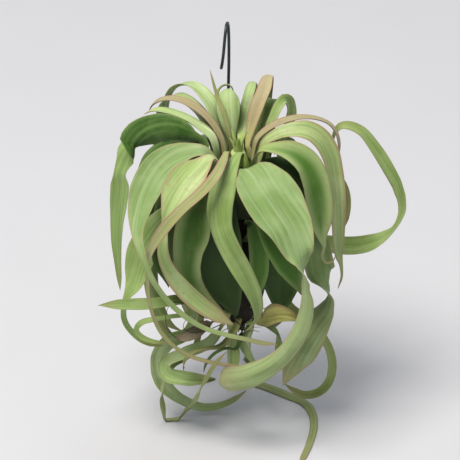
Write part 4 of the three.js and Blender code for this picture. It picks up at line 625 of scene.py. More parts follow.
def add_node(tree, kind, settings=None, inputs=None):
    """Adds a node, sets its properties, and sets or links its inputs."""
    node = tree.nodes.new(kind)
    for name, value in (settings or {}).items():
        setattr(node, name, value)
    for key, value in (inputs or {}).items():
        if isinstance(value, bpy.types.NodeSocket):
            tree.links.new(value, node.inputs[key])
        else:
            node.inputs[key].default_value = value
    return node


def new_material(name, hex_colour, roughness):
    """An empty material with its surface shader, in the colour it has seen from afar."""
    material = bpy.data.materials.new(name)
    material.use_nodes = True
    material.diffuse_color = srgb(hex_colour)
    shader = material.node_tree.nodes["Principled BSDF"]
    shader.inputs["Roughness"].default_value = roughness
    return material, material.node_tree, shader


def leaf_material(tone):
    """Living leaf under a bloom of silvery drinking scales.

    The scales make the green pale and matte, parallel veins give fine streaks along the blade,
    the thin margins flush pink-brown, and the clasping root is bare and yellow-green. Shade
    between crowded leaves is painted into the colour.
    """
    paint = TONES[tone]
    material, tree, shader = new_material(f"scaly leaf {tone}", paint.upper, 0.62)
    place, share, seed = (
        add_node(tree, "ShaderNodeAttribute", {"attribute_name": name}).outputs
        for name in ("blade_place", "blade_share", "leaf_seed"))
    across, along, edge = add_node(
        tree, "ShaderNodeSeparateXYZ", inputs={0: place["Vector"]}).outputs
    across_share, along_share, face = add_node(
        tree, "ShaderNodeSeparateXYZ", inputs={0: share["Vector"]}).outputs
    where = add_node(tree, "ShaderNodeTexCoord").outputs["Object"]
    # A leaf's own seed shifts its pattern, so that no two leaves have the same streaks.
    shift = add_node(
        tree, "ShaderNodeMath", {"operation": "MULTIPLY"}, {0: seed["Fac"], 1: 37.0})
    on_blade = add_node(
        tree, "ShaderNodeCombineXYZ", inputs={"X": across, "Y": along, "Z": shift.outputs[0]})

    # Parallel veins lie 0.4 mm apart, drawn at 0.9 mm so that they show, and run for 40 mm.
    # Broad streaks of thicker and thinner scales are 3 mm across and 60 mm long.
    lengthwise = []
    for width, length, detail, roughness in ((0.0009, 0.04, 2.0, 0.55), (0.003, 0.06, 1.0, 0.5)):
        stretched = add_node(
            tree, "ShaderNodeVectorMath", {"operation": "MULTIPLY"},
            {0: on_blade.outputs[0], 1: (1 / width, 1 / length, 1.0)})
        lengthwise.append(add_node(tree, "ShaderNodeTexNoise", inputs={
            "Vector": stretched.outputs[0], "Scale": 1.0, "Detail": detail,
            "Roughness": roughness}).outputs["Fac"])
    veins, streaks = lengthwise
    # Clouds in the bloom, about 12 mm, its grain of scales, 0.5 mm, and rusty specks, 2 mm.
    clouds, scales, specks = (
        add_node(tree, "ShaderNodeTexNoise", inputs={
            "Vector": where, "Scale": 1 / size, "Detail": detail}).outputs["Fac"]
        for size, detail in ((0.012, 3.0), (0.0005, 1.0), (0.002, 3.0)))
    middle = add_node(tree, "ShaderNodeMath", {"operation": "ABSOLUTE"}, {0: across_share})
    nearness = add_node(
        tree, "ShaderNodeAmbientOcclusion", {"samples": 8}, {"Distance": 0.04})
    # The margin's flush is 0.3 to 1.4 mm wide, or a multiple of that, and comes and goes.
    flush_width = add_node(
        tree, "ShaderNodeMapRange",
        inputs={"Value": streaks, "From Min": 0.3, "From Max": 0.7,
                "To Min": 0.0003 * paint.flush_width, "To Max": 0.0014 * paint.flush_width})

    # How strong each layer is: what it follows, from which value to which, its strength at the
    # two, and whether it goes from one to the other smoothly.
    strengths = {}
    for name, value, low, high, start, end, smoothly in (
            ("under", face, -0.25, 0.25, 1.0, 0.0, True),
            ("streak", streaks, 0.48, 0.72, 0.0, 0.6, False),
            ("vein", veins, 0.42, 0.75, 0.0, 0.5, False),
            ("cloud", clouds, 0.45, 0.7, 0.0, 0.45, False),
            # Beside the flush the blade is paler, for 2 mm; on channelled leaves this rim is 5 mm
            # wide and is painted light on the raised margins.
            ("rim", edge, 0.0005, 0.0015 + 0.0045 * paint.rim, paint.rim, 0.0, True),
            # Rusty specks gather on the leaves that flush most.
            ("rust", specks, 0.56, 0.74, 0.0, 0.5 * paint.flush, False),
            ("root", along_share, 0.02, paint.root_end, 0.85, 0.0, True),
            ("tip", along_share, 0.82, 1.0, 0.0, 0.55, True),
            ("flush", edge, 0.0, flush_width.outputs[0], paint.flush, 0.0, True),
            # Narrow blades keep a green middle.
            ("outer", middle.outputs[0], 0.45, 0.9, 0.0, 1.0, True),
            # No two leaves have quite the same green.
            ("tint", seed["Fac"], 0.0, 1.0, 0.88, 1.12, False),
            # Painted shade: deep between the leaves, within 40 mm of each other, the green
            # darkens.
            ("depth", nearness.outputs["AO"], 0.1, 0.6, 0.85, 0.0, True)):
        strengths[name] = add_node(
            tree, "ShaderNodeMapRange",
            {"interpolation_type": "SMOOTHSTEP" if smoothly else "LINEAR"},
            {"Value": value, "From Min": low, "From Max": high, "To Min": start,
             "To Max": end}).outputs[0]
    flush = add_node(tree, "ShaderNodeMath", {"operation": "MULTIPLY"},
                     {0: strengths["flush"], 1: strengths["outer"]})
    # The painted shade is weaker on the bare roots, which catch light by the crown.
    bare = add_node(
        tree, "ShaderNodeMath", {"operation": "SUBTRACT"}, {0: 1.0, 1: strengths["root"]})
    depth = add_node(tree, "ShaderNodeMath", {"operation": "MULTIPLY"},
                     {0: strengths["depth"], 1: bare.outputs[0]})

    vein_colour = "#6a5a3c" if tone == "dry" else "#3c5a20"
    last = srgb(paint.upper)
    for strength, hex_colour in (
            (strengths["under"], paint.under), (strengths["streak"], paint.bloom),
            (strengths["vein"], vein_colour), (strengths["cloud"], paint.bloom),
            (strengths["rim"], "#a9be7c"), (strengths["rust"], paint.margin),
            (strengths["root"], paint.root), (strengths["tip"], paint.margin),
            (flush.outputs[0], paint.margin)):
        last = add_node(
            tree, "ShaderNodeMix", {"data_type": "RGBA"},
            {"Factor": strength, "A": last, "B": srgb(hex_colour)}).outputs["Result"]
    shade = add_node(
        tree, "ShaderNodeHueSaturation", inputs={"Value": strengths["tint"], "Color": last})
    # Painted shade: the colour is multiplied towards a dark green where the leaves crowd.
    with_painted_shade = add_node(
        tree, "ShaderNodeMix", {"data_type": "RGBA", "blend_type": "MULTIPLY"},
        {"Factor": depth.outputs[0], "A": shade.outputs[0], "B": srgb("#4f6b2a")})
    tree.links.new(with_painted_shade.outputs["Result"], shader.inputs["Base Color"])
    relief = add_node(
        tree, "ShaderNodeMath", {"operation": "MULTIPLY_ADD"}, {0: veins, 1: 1.0, 2: scales})
    bump = add_node(
        tree, "ShaderNodeBump",
        inputs={"Strength": 0.35, "Distance": 0.0002, "Height": relief.outputs[0]})
    tree.links.new(bump.outputs[0], shader.inputs["Normal"])
    for name, value in {
            "Specular IOR Level": 0.35, "Sheen Weight": paint.sheen, "Sheen Roughness": 0.6,
            "Sheen Tint": srgb("#e4ecd8"), "Subsurface Weight": 0.12,
            "Subsurface Radius": (0.6, 1.0, 0.25), "Subsurface Scale": 0.0012}.items():
        shader.inputs[name].default_value = value
    return material


def root_material():
    """Dead roots and threads: thin, dry and almost black."""
    material, _, shader = new_material("dead root", "#231a12", 0.85)
    shader.inputs["Base Color"].default_value = srgb("#231a12")
    return material


def bark_material():
    """Fibrous stem under the remains of old leaf bases: rough, matt, dark with painted shade."""
    material, tree, shader = new_material("fibrous stem", "#4a3524", 0.92)
    where = add_node(tree, "ShaderNodeTexCoord")
    # Fibres 0.6 mm wide run up the stem and hold together for about 8 mm.
    stretched = add_node(
        tree, "ShaderNodeMapping", inputs={
            "Vector": where.outputs["Object"], "Scale": (1 / 0.0006, 1 / 0.0006, 1 / 0.008)})
    fibres = add_node(
        tree, "ShaderNodeTexNoise", inputs={"Vector": stretched.outputs[0], "Scale": 1.0,
                                            "Detail": 3.0})
    ramp = add_node(tree, "ShaderNodeValToRGB", inputs={"Fac": fibres.outputs["Fac"]})
    # Painted shade: the fibres' brown is darkened almost to black, as deep inside the rosette.
    ramp.color_ramp.elements[0].position = 0.3
    ramp.color_ramp.elements[0].color = srgb("#0e0a06")
    ramp.color_ramp.elements[1].position = 0.75
    ramp.color_ramp.elements[1].color = srgb("#2f2417")
    tree.links.new(ramp.outputs[0], shader.inputs["Base Color"])
    bump = add_node(
        tree, "ShaderNodeBump",
        inputs={"Strength": 0.7, "Distance": 0.0004, "Height": fibres.outputs["Fac"]})
    tree.links.new(bump.outputs[0], shader.inputs["Normal"])
    return material


def heart_material():
    """Clasping sheaths of the heart: smooth, yellow-green, darker below with painted shade."""
    material, tree, shader = new_material("clasping sheaths", "#b9cf86", 0.6)
    where = add_node(tree, "ShaderNodeTexCoord")
    _, _, height = add_node(
        tree, "ShaderNodeSeparateXYZ", inputs={0: where.outputs["Object"]}).outputs
    low = STEM_FOOT.z + HEART_Z * MM
    high = STEM_FOOT.z + HEART_TOP_Z * MM
    up = add_node(
        tree, "ShaderNodeMapRange", inputs={"Value": height, "From Min": low, "From Max": high})
    ramp = add_node(tree, "ShaderNodeValToRGB", inputs={"Fac": up.outputs[0]})
    # Painted shade: dark at the foot, where the leaves crowd round, and lighter upwards.
    stops = [(0.0, "#33381c"), (0.5, "#4d5f2a"), (0.85, "#93ab58"), (1.0, "#b9cf86")]
    ramp.color_ramp.elements[0].color = srgb(stops[0][1])
    ramp.color_ramp.elements[1].color = srgb(stops[-1][1])
    for position, hex_colour in stops[1:-1]:
        ramp.color_ramp.elements.new(position).color = srgb(hex_colour)
    # Veins 0.9 mm apart run up the sheaths.
    stretched = add_node(
        tree, "ShaderNodeMapping", inputs={
            "Vector": where.outputs["Object"], "Scale": (1 / 0.0009, 1 / 0.0009, 1 / 0.02)})
    veins = add_node(
        tree, "ShaderNodeTexNoise", inputs={"Vector": stretched.outputs[0], "Scale": 1.0})
    part = add_node(
        tree, "ShaderNodeMapRange", inputs={"Value": veins.outputs["Fac"], "From Min": 0.45,
                                            "From Max": 0.75, "To Max": 0.5})
    mixed = add_node(
        tree, "ShaderNodeMix", {"data_type": "RGBA"},
        {"Factor": part.outputs[0], "A": ramp.outputs[0], "B": srgb("#4f6b2c")})
    tree.links.new(mixed.outputs["Result"], shader.inputs["Base Color"])
    bump = add_node(
        tree, "ShaderNodeBump",
        inputs={"Strength": 0.3, "Distance": 0.0003, "Height": veins.outputs["Fac"]})
    tree.links.new(bump.outputs[0], shader.inputs["Normal"])
    return material


def wire_material():
    """Steel wire with a dark baked coating: smooth, with a soft shine and a few dull patches."""
    material, tree, shader = new_material("coated wire", "#2b2f33", 0.34)
    where = add_node(tree, "ShaderNodeTexCoord")
    # Handling dulls the coating in patches of 5 mm.
    patches = add_node(
        tree, "ShaderNodeTexNoise", inputs={
            "Vector": where.outputs["Object"], "Scale": 1 / 0.005, "Detail": 2.0})
    dull = add_node(
        tree, "ShaderNodeMapRange", inputs={"Value": patches.outputs["Fac"], "From Min": 0.4,
                                            "From Max": 0.7, "To Min": 0.3, "To Max": 0.5})
    tree.links.new(dull.outputs[0], shader.inputs["Roughness"])
    colour = add_node(tree, "ShaderNodeValToRGB", inputs={"Fac": patches.outputs["Fac"]})
    colour.color_ramp.elements[0].color = srgb("#24282c")
    colour.color_ramp.elements[1].color = srgb("#3a4046")
    tree.links.new(colour.outputs[0], shader.inputs["Base Color"])
    shader.inputs["Metallic"].default_value = 0.4
    return material


def floor_material():
    """Matte pale paper sweep."""
    material, tree, shader = new_material("pale paper", "#d9dadd", 0.9)
    where = add_node(tree, "ShaderNodeTexCoord")
    # The paper's own cloudiness is 60 mm across and barely shows.
    cloud = add_node(
        tree, "ShaderNodeTexNoise", inputs={"Vector": where.outputs["Object"], "Scale": 1 / 0.06})
    colour = add_node(tree, "ShaderNodeValToRGB", inputs={"Fac": cloud.outputs["Fac"]})
    colour.color_ramp.elements[0].color = srgb("#cacbcf")
    colour.color_ramp.elements[1].color = srgb("#cecfd3")
    tree.links.new(colour.outputs[0], shader.inputs["Base Color"])
    return material


# ---------------------------------------------------------------- centre lines

def from_view(point):
    """A point of the slanted front view, in the plant's own frame."""
    across, up, back, *_ = point
    height = (up - back * math.sin(VIEW_TILT)) / math.cos(VIEW_TILT)
    return Vector((across, back, height))


def stem_radius(height):
    """The stem's radius at a height, read off its outline."""
    for (r0, z0), (r1, z1) in zip(STEM_OUTLINE, STEM_OUTLINE[1:]):
        if height <= z1 and z1 > z0:
            return r0 + (r1 - r0) * (height - z0) / (z1 - z0)
    return 0.0


def around(radius, azimuth_degrees, height):
    """A point at a radius, azimuth and height round the stem's axis."""
    azimuth = math.radians(azimuth_degrees)
    return Vector((radius * math.cos(azimuth), radius * math.sin(azimuth), height))


def slope_at(pairs, i):
    """The slope at one of a list's pairs: none at a peak, so that nothing overshoots."""
    if i in (0, len(pairs) - 1):
        return 0.0
    (s0, v0), (s1, v1), (s2, v2) = pairs[i - 1:i + 2]
    left, right = (v1 - v0) / (s1 - s0), (v2 - v1) / (s2 - s1)
    return 2 * left * right / (left + right) if left * right > 0 else 0.0


def read_at(pairs, share):
    """Reads a list of [share of the length, value] pairs along a smooth line through them."""
    if share <= pairs[0][0]:
        return pairs[0][1]
    for i in range(1, len(pairs)):
        (s0, v0), (s1, v1) = pairs[i - 1], pairs[i]
        if share <= s1:
            span = s1 - s0
            t = (share - s0) / span
            ease = t * t * (3 - 2 * t)
            leave = t * (1 - t) * (1 - t) * span * slope_at(pairs, i - 1)
            arrive = t * t * (1 - t) * span * slope_at(pairs, i)
            return v0 + (v1 - v0) * ease + leave - arrive
    return pairs[-1][1]


class Line:
    """A smooth centripetal line through points, read by its share of length."""

    DIVISIONS = 400
    KNOT_POWER = 0.25  # of the squared distance between two points
    LEAST_SQUARE = 1e-12
    NEAR = 1e-4  # how far to either side a tangent looks

    def __init__(self, points):
        self.points = points
        self.samples = [self.at(i / self.DIVISIONS) for i in range(self.DIVISIONS + 1)]
        self.lengths = [0.0]
        for a, b in zip(self.samples, self.samples[1:]):
            self.lengths.append(self.lengths[-1] + (b - a).length)

    @property
    def length(self):
        """The whole length."""
        return self.lengths[-1]

    def at(self, t):
        """A point by the line's own parameter."""
        points = self.points
        last = len(points) - 1
        whole = min(int(t * last), last - 1)
        weight = t * last - whole
        p1, p2 = points[whole], points[whole + 1]
        p0 = points[whole - 1] if whole > 0 else 2 * points[0] - points[1]
        p3 = points[whole + 2] if whole + 2 <= last else 2 * points[-1] - points[-2]
        d0, d1, d2 = (
            max((b - a).length_squared, self.LEAST_SQUARE) ** self.KNOT_POWER
            for a, b in ((p0, p1), (p1, p2), (p2, p3)))
        start = ((p1 - p0) / d0 - (p2 - p0) / (d0 + d1) + (p2 - p1) / d1) * d1
        end = ((p2 - p1) / d1 - (p3 - p1) / (d1 + d2) + (p3 - p2) / d2) * d1
        w2, w3 = weight * weight, weight ** 3
        return (p1 * (2 * w3 - 3 * w2 + 1) + start * (w3 - 2 * w2 + weight)
                + p2 * (3 * w2 - 2 * w3) + end * (w3 - w2))

    def parameter(self, share):
        """The line's own parameter at a share of its length."""
        wanted = share * self.length
        low, high = 0, self.DIVISIONS
        while high - low > 1:
            middle = (low + high) // 2
            if self.lengths[middle] <= wanted:
                low = middle
            else:
                high = middle
        span = self.lengths[high] - self.lengths[low]
        part = (wanted - self.lengths[low]) / span if span else 0.0
        return (low + min(part, 1.0)) / self.DIVISIONS

    def share(self, parameter):
        """The share of its length at the line's own parameter."""
        place = parameter * self.DIVISIONS
        low = min(int(place), self.DIVISIONS - 1)
        span = self.lengths[low + 1] - self.lengths[low]
        return (self.lengths[low] + span * (place - low)) / self.length

    def point(self, share):
        """The point at a share of the length."""
        return self.at(self.parameter(share))

    def tangent(self, share):
        """The line's direction at a share of the length."""
        t = self.parameter(share)
        after, before = self.at(min(t + self.NEAR, 1.0)), self.at(max(t - self.NEAR, 0.0))
        return (after - before).normalized()


def squared(way, tangent):
    """A direction turned until it is square to a line's."""
    return (way - tangent * way.dot(tangent)).normalized()


def look_at(leaf, share, point):
    """Where the blade's upper face looks: away from the ring it arches over, or as hinted."""
    radius = max(math.hypot(point.x, point.y), 1)
    scale = 1 - ARCH_RADIUS / radius
    away = Vector((point.x * scale, point.y * scale, point.z - ARCH_Z)).normalized()
    before = (0, away)
    for at, (across, up, near) in leaf.get("looks", ()):
        look = Vector((
            across,
            up * math.sin(VIEW_TILT) - near * math.cos(VIEW_TILT),
            up * math.cos(VIEW_TILT) + near * math.sin(VIEW_TILT)))
        if share <= at:
            t = (share - before[0]) / (at - before[0]) if at > before[0] else 1
            return before[1].lerp(look, t)
        before = (at, look)
    return before[1]


def leaf_line(leaf):
    """The leaf's centre line: up from its seat on the stem and along its path."""
    azimuth, height = leaf["seat"]
    width = leaf.get("seat_width", ROOT_WIDTH)
    clearance = SEAT_GAP + LEAF_THICKNESS / 2 + width * ROOT_CHANNEL / 2
    top = height + leaf.get("rise", ROOT_RISE)
    points = [
        around(stem_radius(height) + clearance, azimuth, height),
        around(stem_radius(top) + clearance + ROOT_LEAN, azimuth, top),
    ]
    points.extend(from_view(point) for point in leaf["path"])
    return Line(points)


def leaf_steps(leaf, line):
    """How many steps the leaf's solid has."""
    wanted = min(max(round(line.length / STEP_LENGTH), LEAST_STEPS), MOST_STEPS)
    return leaf.get("steps", wanted)


def leaf_widths(leaf, line):
    """The blade's width along its length: its root's, and then what the path's points say."""
    seat_points = len(line.points) - len(leaf["path"])
    last = len(line.points) - 1
    widths = [[0, leaf.get("seat_width", ROOT_WIDTH)]]
    for i, (_, _, _, width) in enumerate(leaf["path"]):
        widths.append([line.share((i + seat_points) / last), width])
    return widths


# ---------------------------------------------------------------- blades by geometry nodes

def blade_tree():
    """The node tree that grows a closed blade on a spine.

    The spine is a row of points with vectors across the blade (side) and out of its upper face
    (face), its section (half width, depth of the channel, share of the thickness) and its run
    (distance from the root, share of the length, share of the ripple). A grid is rolled round
    the spine: column by column round the section, row by row along the leaf.
    """
    tree = bpy.data.node_groups.new("ribbon_blade", "GeometryNodeTree")
    for name, kind in {
            "Spine": "Geometry", "Columns": "Int", "Rows": "Int", "Thickness": "Float",
            "Ripple Depth": "Float", "Ripple Length": "Float", "Seed": "Float",
            "Material": "Material"}.items():
        tree.interface.new_socket(name, in_out="INPUT", socket_type=f"NodeSocket{kind}")
    tree.interface.new_socket("Blade", in_out="OUTPUT", socket_type="NodeSocketGeometry")
    given = add_node(tree, "NodeGroupInput").outputs
    grid = add_node(tree, "GeometryNodeMeshGrid", inputs={
        "Size X": 2.0, "Size Y": 1.0, "Vertices X": given["Columns"],
        "Vertices Y": given["Rows"]})
    spot = add_node(tree, "GeometryNodeInputPosition")
    x, y, _ = add_node(tree, "ShaderNodeSeparateXYZ", inputs={0: spot.outputs[0]}).outputs
    # A grid's y of -0.5 to 0.5 is a row's number from 0 up.
    row = y
    last_row = add_node(
        tree, "ShaderNodeMath", {"operation": "SUBTRACT"}, {0: given["Rows"], 1: 1.0})
    for operation, *other in (("ADD", 0.5), ("MULTIPLY", last_row.outputs[0]), ("ROUND",)):
        row = add_node(tree, "ShaderNodeMath", {"operation": operation},
                       dict(enumerate([row, *other]))).outputs[0]

    read = {}
    for name in ("position", "side", "face", "section", "run"):
        kept = add_node(tree, "GeometryNodeInputNamedAttribute", {"data_type": "FLOAT_VECTOR"},
                        {"Name": name})
        sample = add_node(tree, "GeometryNodeSampleIndex", {"data_type": "FLOAT_VECTOR"}, {
            "Geometry": given["Spine"], "Value": kept.outputs["Attribute"],
            "Index": row})
        read[name] = sample.outputs["Value"]
    half, channel, body = add_node(
        tree, "ShaderNodeSeparateXYZ", inputs={0: read["section"]}).outputs
    distance, share, rippled = add_node(
        tree, "ShaderNodeSeparateXYZ", inputs={0: read["run"]}).outputs

    # Each value's name, its operation, and what it works on: numbers or the values before it.
    known = {"x": x, "half": half, "channel": channel, "body": body, "distance": distance,
             "rippled": rippled, "thickness": given["Thickness"], "seed": given["Seed"],
             "depth": given["Ripple Depth"], "length": given["Ripple Length"]}
    for name, operation, *values in (
            # Round the section, "across" goes 1, -1, 1, and "proud" is above the midline, then
            # below it.
            ("angle", "MULTIPLY", "x", -math.pi),
            ("across", "COSINE", "angle"),
            ("proud", "SINE", "angle"),
            ("offset", "MULTIPLY", "across", "half"),
            ("square", "MULTIPLY", "across", "across"),
            # The channel: the edges stand above the midline by its depth.
            ("lift", "SUBTRACT", "square", 0.5),
            ("bowl", "MULTIPLY", "lift", "channel"),
            # The thickness, fullest at the midline.
            ("full", "MULTIPLY", "thickness", "body"),
            ("half_full", "MULTIPLY", "full", 0.5),
            ("skin", "MULTIPLY_ADD", "half_full", "proud", "bowl"),
            # The ripple of the margins, out of step on the two sides.
            ("waves", "DIVIDE", "distance", "length"),
            ("own_waves", "MULTIPLY_ADD", "seed", 5.0, "waves"),
            ("turned_waves", "MULTIPLY_ADD", "across", 0.21, "own_waves"),
            ("wave_angle", "MULTIPLY", "turned_waves", math.tau),
            ("wave", "SINE", "wave_angle"),
            ("margin_wave", "MULTIPLY", "wave", "square"),
            ("ripple", "MULTIPLY", "margin_wave", "rippled"),
            ("height", "MULTIPLY_ADD", "ripple", "depth", "skin"),
            # How far inside the margin a point is.
            ("inner", "ABSOLUTE", "offset"),
            ("edge", "SUBTRACT", "half", "inner")):
        known[name] = add_node(
            tree, "ShaderNodeMath", {"operation": operation},
            {i: known.get(value, value) for i, value in enumerate(values)}).outputs[0]

    place = read["position"]
    for way, size in (("side", "offset"), ("face", "height")):
        step = add_node(tree, "ShaderNodeVectorMath", {"operation": "SCALE"},
                        {0: read[way], "Scale": known[size]})
        place = add_node(tree, "ShaderNodeVectorMath", {"operation": "ADD"},
                         {0: place, 1: step.outputs[0]}).outputs[0]

    # What the material reads: where on the blade a point is, in metres and as shares.
    in_metres = add_node(tree, "ShaderNodeCombineXYZ", inputs={
        "X": known["offset"], "Y": distance, "Z": known["edge"]})
    in_shares = add_node(tree, "ShaderNodeCombineXYZ", inputs={
        "X": known["across"], "Y": share, "Z": known["proud"]})
    blade = grid.outputs["Mesh"]
    for name, kind, value in (
            ("blade_place", "FLOAT_VECTOR", in_metres.outputs[0]),
            ("blade_share", "FLOAT_VECTOR", in_shares.outputs[0]),
            ("leaf_seed", "FLOAT", given["Seed"])):
        blade = add_node(tree, "GeometryNodeStoreNamedAttribute", {"data_type": kind}, {
            "Geometry": blade, "Name": name, "Value": value}).outputs[0]
    for kind, inputs in (
            ("GeometryNodeSetPosition", {"Position": place}),
            ("GeometryNodeMergeByDistance", {"Distance": 1e-6}),
            ("GeometryNodeSetShadeSmooth", {}), ("GeometryNodeRealizeInstances", {}),
            ("GeometryNodeSetMaterial", {"Material": given["Material"]})):
        blade = add_node(tree, kind, inputs={"Geometry": blade, **inputs}).outputs[0]
    add_node(tree, "NodeGroupOutput", inputs={"Blade": blade})
    return tree


def spine_mesh(name, rows):
    """A row of points, in the frame's metres, with what the tree reads at each."""
    mesh = bpy.data.meshes.new(name)
    mesh.from_pydata([row["point"] * MM + STEM_FOOT for row in rows],
                     [(i, i + 1) for i in range(len(rows) - 1)], [])
    for key in ("side", "face", "section", "run"):
        values = [value for row in rows for value in row[key]]
        mesh.attributes.new(key, "FLOAT_VECTOR", "POINT").data.foreach_set("vector", values)
    return mesh


def grown(name, rows, columns, thickness, material, ripple_depth=0.0, ripple_length=0.01,
          seed=0.0):
    """A blade as a plain mesh, grown on its spine by the node tree."""
    tree = bpy.data.node_groups.get("ribbon_blade") or blade_tree()
    spine = bpy.data.objects.new(f"{name}_spine", spine_mesh(name, rows))
    bpy.context.scene.collection.objects.link(spine)
    modifier = spine.modifiers.new("blade", "NODES")
    modifier.node_group = tree
    values = {
        "Columns": columns, "Rows": len(rows), "Thickness": thickness,
        "Ripple Depth": ripple_depth, "Ripple Length": ripple_length, "Seed": seed,
        "Material": material,
    }
    for item in tree.interface.items_tree:
        if item.in_out == "INPUT" and item.name in values:
            modifier[item.identifier] = values[item.name]
    bpy.context.view_layer.update()
    seen = spine.evaluated_get(bpy.context.evaluated_depsgraph_get())
    mesh = bpy.data.meshes.new_from_object(seen)
    bpy.data.objects.remove(spine)
    face_outwards(mesh)
    return mesh


def face_outwards(mesh):
    """Turns every face of a closed mesh outwards."""
    work = bmesh.new()
    work.from_mesh(mesh)
    bmesh.ops.dissolve_degenerate(work, dist=1e-7, edges=work.edges[:])
    bmesh.ops.recalc_face_normals(work, faces=work.faces[:])
    work.to_mesh(mesh)
    work.free()
    mesh.update()


def leaf_rows(leaf, spacing):
    """The spine of a leaf, with several rows to each step of its solid.

    Its faces look where the solid's do at the solid's steps, and turn evenly between them.
    """
    line = leaf_line(leaf)
    steps = leaf_steps(leaf, line)
    faces = []
    for i in range(steps + 1):
        tangent = line.tangent(i / steps)
        faces.append(squared(look_at(leaf, i / steps, line.point(i / steps)), tangent))
    widths = leaf_widths(leaf, line)
    channels = leaf.get("channels", CHANNELS)
    count = max(round(line.length / spacing), LEAST_ROWS)
    rows = []
    for i in range(count + 1):
        share = i / count
        station = min(int(share * steps), steps - 1)
        part = share * steps - station
        part = part * part * (3 - 2 * part)
        tangent = line.tangent(share)
        face = squared(faces[station].lerp(faces[station + 1], part), tangent)
        half, channel = read_at(widths, share) / 2, read_at(channels, share)
        # The last few millimetres run out in a point, and the root closes the same way.
        point_out = min((1 - share) * line.length / (TIP_LENGTH + 2 * half), 1) ** TIP_POWER
        close = min(share * line.length / ROOT_CLOSING, 1) ** 0.5 * point_out
        ripple = min(share / RIPPLE_START, 1) * min(half / RIPPLE_HALF_WIDTH, 1)
        point, side = line.point(share), tangent.cross(face)
        if leaf.get("flattened") and point.z < FLOOR_Z + LOW_BAND:
            below = half * abs(side.z) + (LEAF_THICKNESS / 2 + half * channel) * abs(face.z)
            point.z = max(point.z, FLOOR_Z + below)
            ripple = 0.0
        rows.append(dict(
            point=point, side=side, face=face,
            section=(half * point_out * MM, 2 * half * channel * MM, close),
            run=(share * line.length * MM, share, ripple)))
    return rows


# ---------------------------------------------------------------- properties

def colour_property(name, hex_colour, description):
    """A colour that a user may change."""
    return FloatVectorProperty(
        name=name, description=description, subtype="COLOR", size=4, min=0, max=1,
        default=srgb(hex_colour))


class AirPlantShape(bpy.types.PropertyGroup):
    """Sizes of the fine leaves."""

    thickness: FloatProperty(
        name="Leaf Thickness", description="Thickness of a blade at its midline",
        default=LEAF_THICKNESS * MM, min=0.0002, unit="LENGTH")
    ripple_depth: FloatProperty(
        name="Ripple Depth", description="How far the margins of a wide leaf wave up and down",
        default=0.0007, min=0, unit="LENGTH")
    ripple_length: FloatProperty(
        name="Ripple Length", description="Length of one wave of the margins",
        default=0.034, min=0.005, unit="LENGTH")
    row_spacing: FloatProperty(
        name="Row Spacing", description="Distance between two rows of points along a leaf",
        default=0.0018, min=0.0005, unit="LENGTH")
    columns: IntProperty(
        name="Columns", description="Points round a blade's section, counted with the seam",
        default=25, min=9)


class AirPlantLooks(bpy.types.PropertyGroup):
    """Light and floor."""

    floor_size: FloatProperty(
        name="Floor Size", description="Side of the pale floor", default=6.0, min=1,
        unit="LENGTH")
    key_power: FloatProperty(
        name="Key Power", description="Power of the large light at the left", default=21.0,
        min=0, unit="POWER")
    fill_power: FloatProperty(
        name="Fill Power", description="Power of the light from behind", default=5.0,
        min=0, unit="POWER")
    sky_colour: colour_property("Sky Colour", "#eef1f6", "Colour of the room's soft light")
    sky_strength: FloatProperty(
        name="Sky Strength", description="Strength of the room's soft light", default=0.38,
        min=0)


# ---------------------------------------------------------------- pieces

def finish_piece(name, mesh, node):
    """Puts a mesh into the scene, alone or with others in place of a solid."""
    mesh.name = name
    piece = bpy.data.objects.new(name, mesh)
    bpy.context.scene.collection.objects.link(piece)
    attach(piece, "root")
    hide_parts(node)
    return piece


def material_for(tone):
    """The leaf material of a tone, made once."""
    return bpy.data.materials.get(f"scaly leaf {tone}") or leaf_material(tone)


def leaf_seed(name):
    """A number from 0 to 1 that is a leaf's own."""
    return (sum((i + 3) * ord(letter) for i, letter in enumerate(name)) * SEED_SHARE) % 1.0


def add_leaf(shape, leaf):
    """Grows one leaf in place of its solid."""
    rows = leaf_rows(leaf, shape.row_spacing / MM)
    mesh = grown(
        leaf["name"], rows, shape.columns, shape.thickness, material_for(leaf["tone"]),
        shape.ripple_depth, shape.ripple_length, leaf_seed(leaf["name"]))
    return finish_piece(f"{leaf['name']}_blade", mesh, leaf["name"])


def add_leaves(context, *starts):
    """Grows the leaves whose names start in one of these ways."""
    chosen = [leaf for leaf in LEAVES if leaf["name"].startswith(starts)]
    if not chosen:
        raise RuntimeError(f"no leaf is named {starts}")
    for leaf in chosen:
        add_leaf(context.scene.air_plant_shape, leaf)


def rear_leaves():
    """The leaves of the hidden back, tier by tier, by one seeded rule."""
    state = BACK_SEED

    def draw():
        """The next draw, from 0 to 1."""
        nonlocal state
        state = (state * DRAW_FACTOR + DRAW_STEP) % DRAW_RANGE
        return state / DRAW_RANGE

    leaves = []
    for tier in BACK_TIERS:
        for azimuth in tier["azimuths"]:
            reach = tier["reach"] + (draw() - 0.5) * BACK_VARIES["reach"]
            drift = (draw() - 0.5) * BACK_VARIES["drift"]
            end = tier["end"] + (draw() - 0.5) * BACK_VARIES["end"]
            widest = BACK_WIDTH + draw() * BACK_VARIES["width"]
            start = around(stem_radius(tier["seat"]) + BACK_START["out"], azimuth,
                           tier["seat"] + BACK_START["up"])
            way = [
                to_view(around(reach * share, azimuth + drift * drift_share,
                               tier["top"] * top_share + end * end_share + rise),
                        widest * width_share)
                for share, top_share, end_share, rise, drift_share, width_share in BACK_WAY]
            leaves.append(dict(
                name=f"leaf_rear_{len(leaves) + 1}",
                tone=BACK_TONES[len(leaves) % len(BACK_TONES)],
                seat=[azimuth, tier["seat"]],
                path=[to_view(start, widest * BACK_START["share"]), *way]))
    return leaves


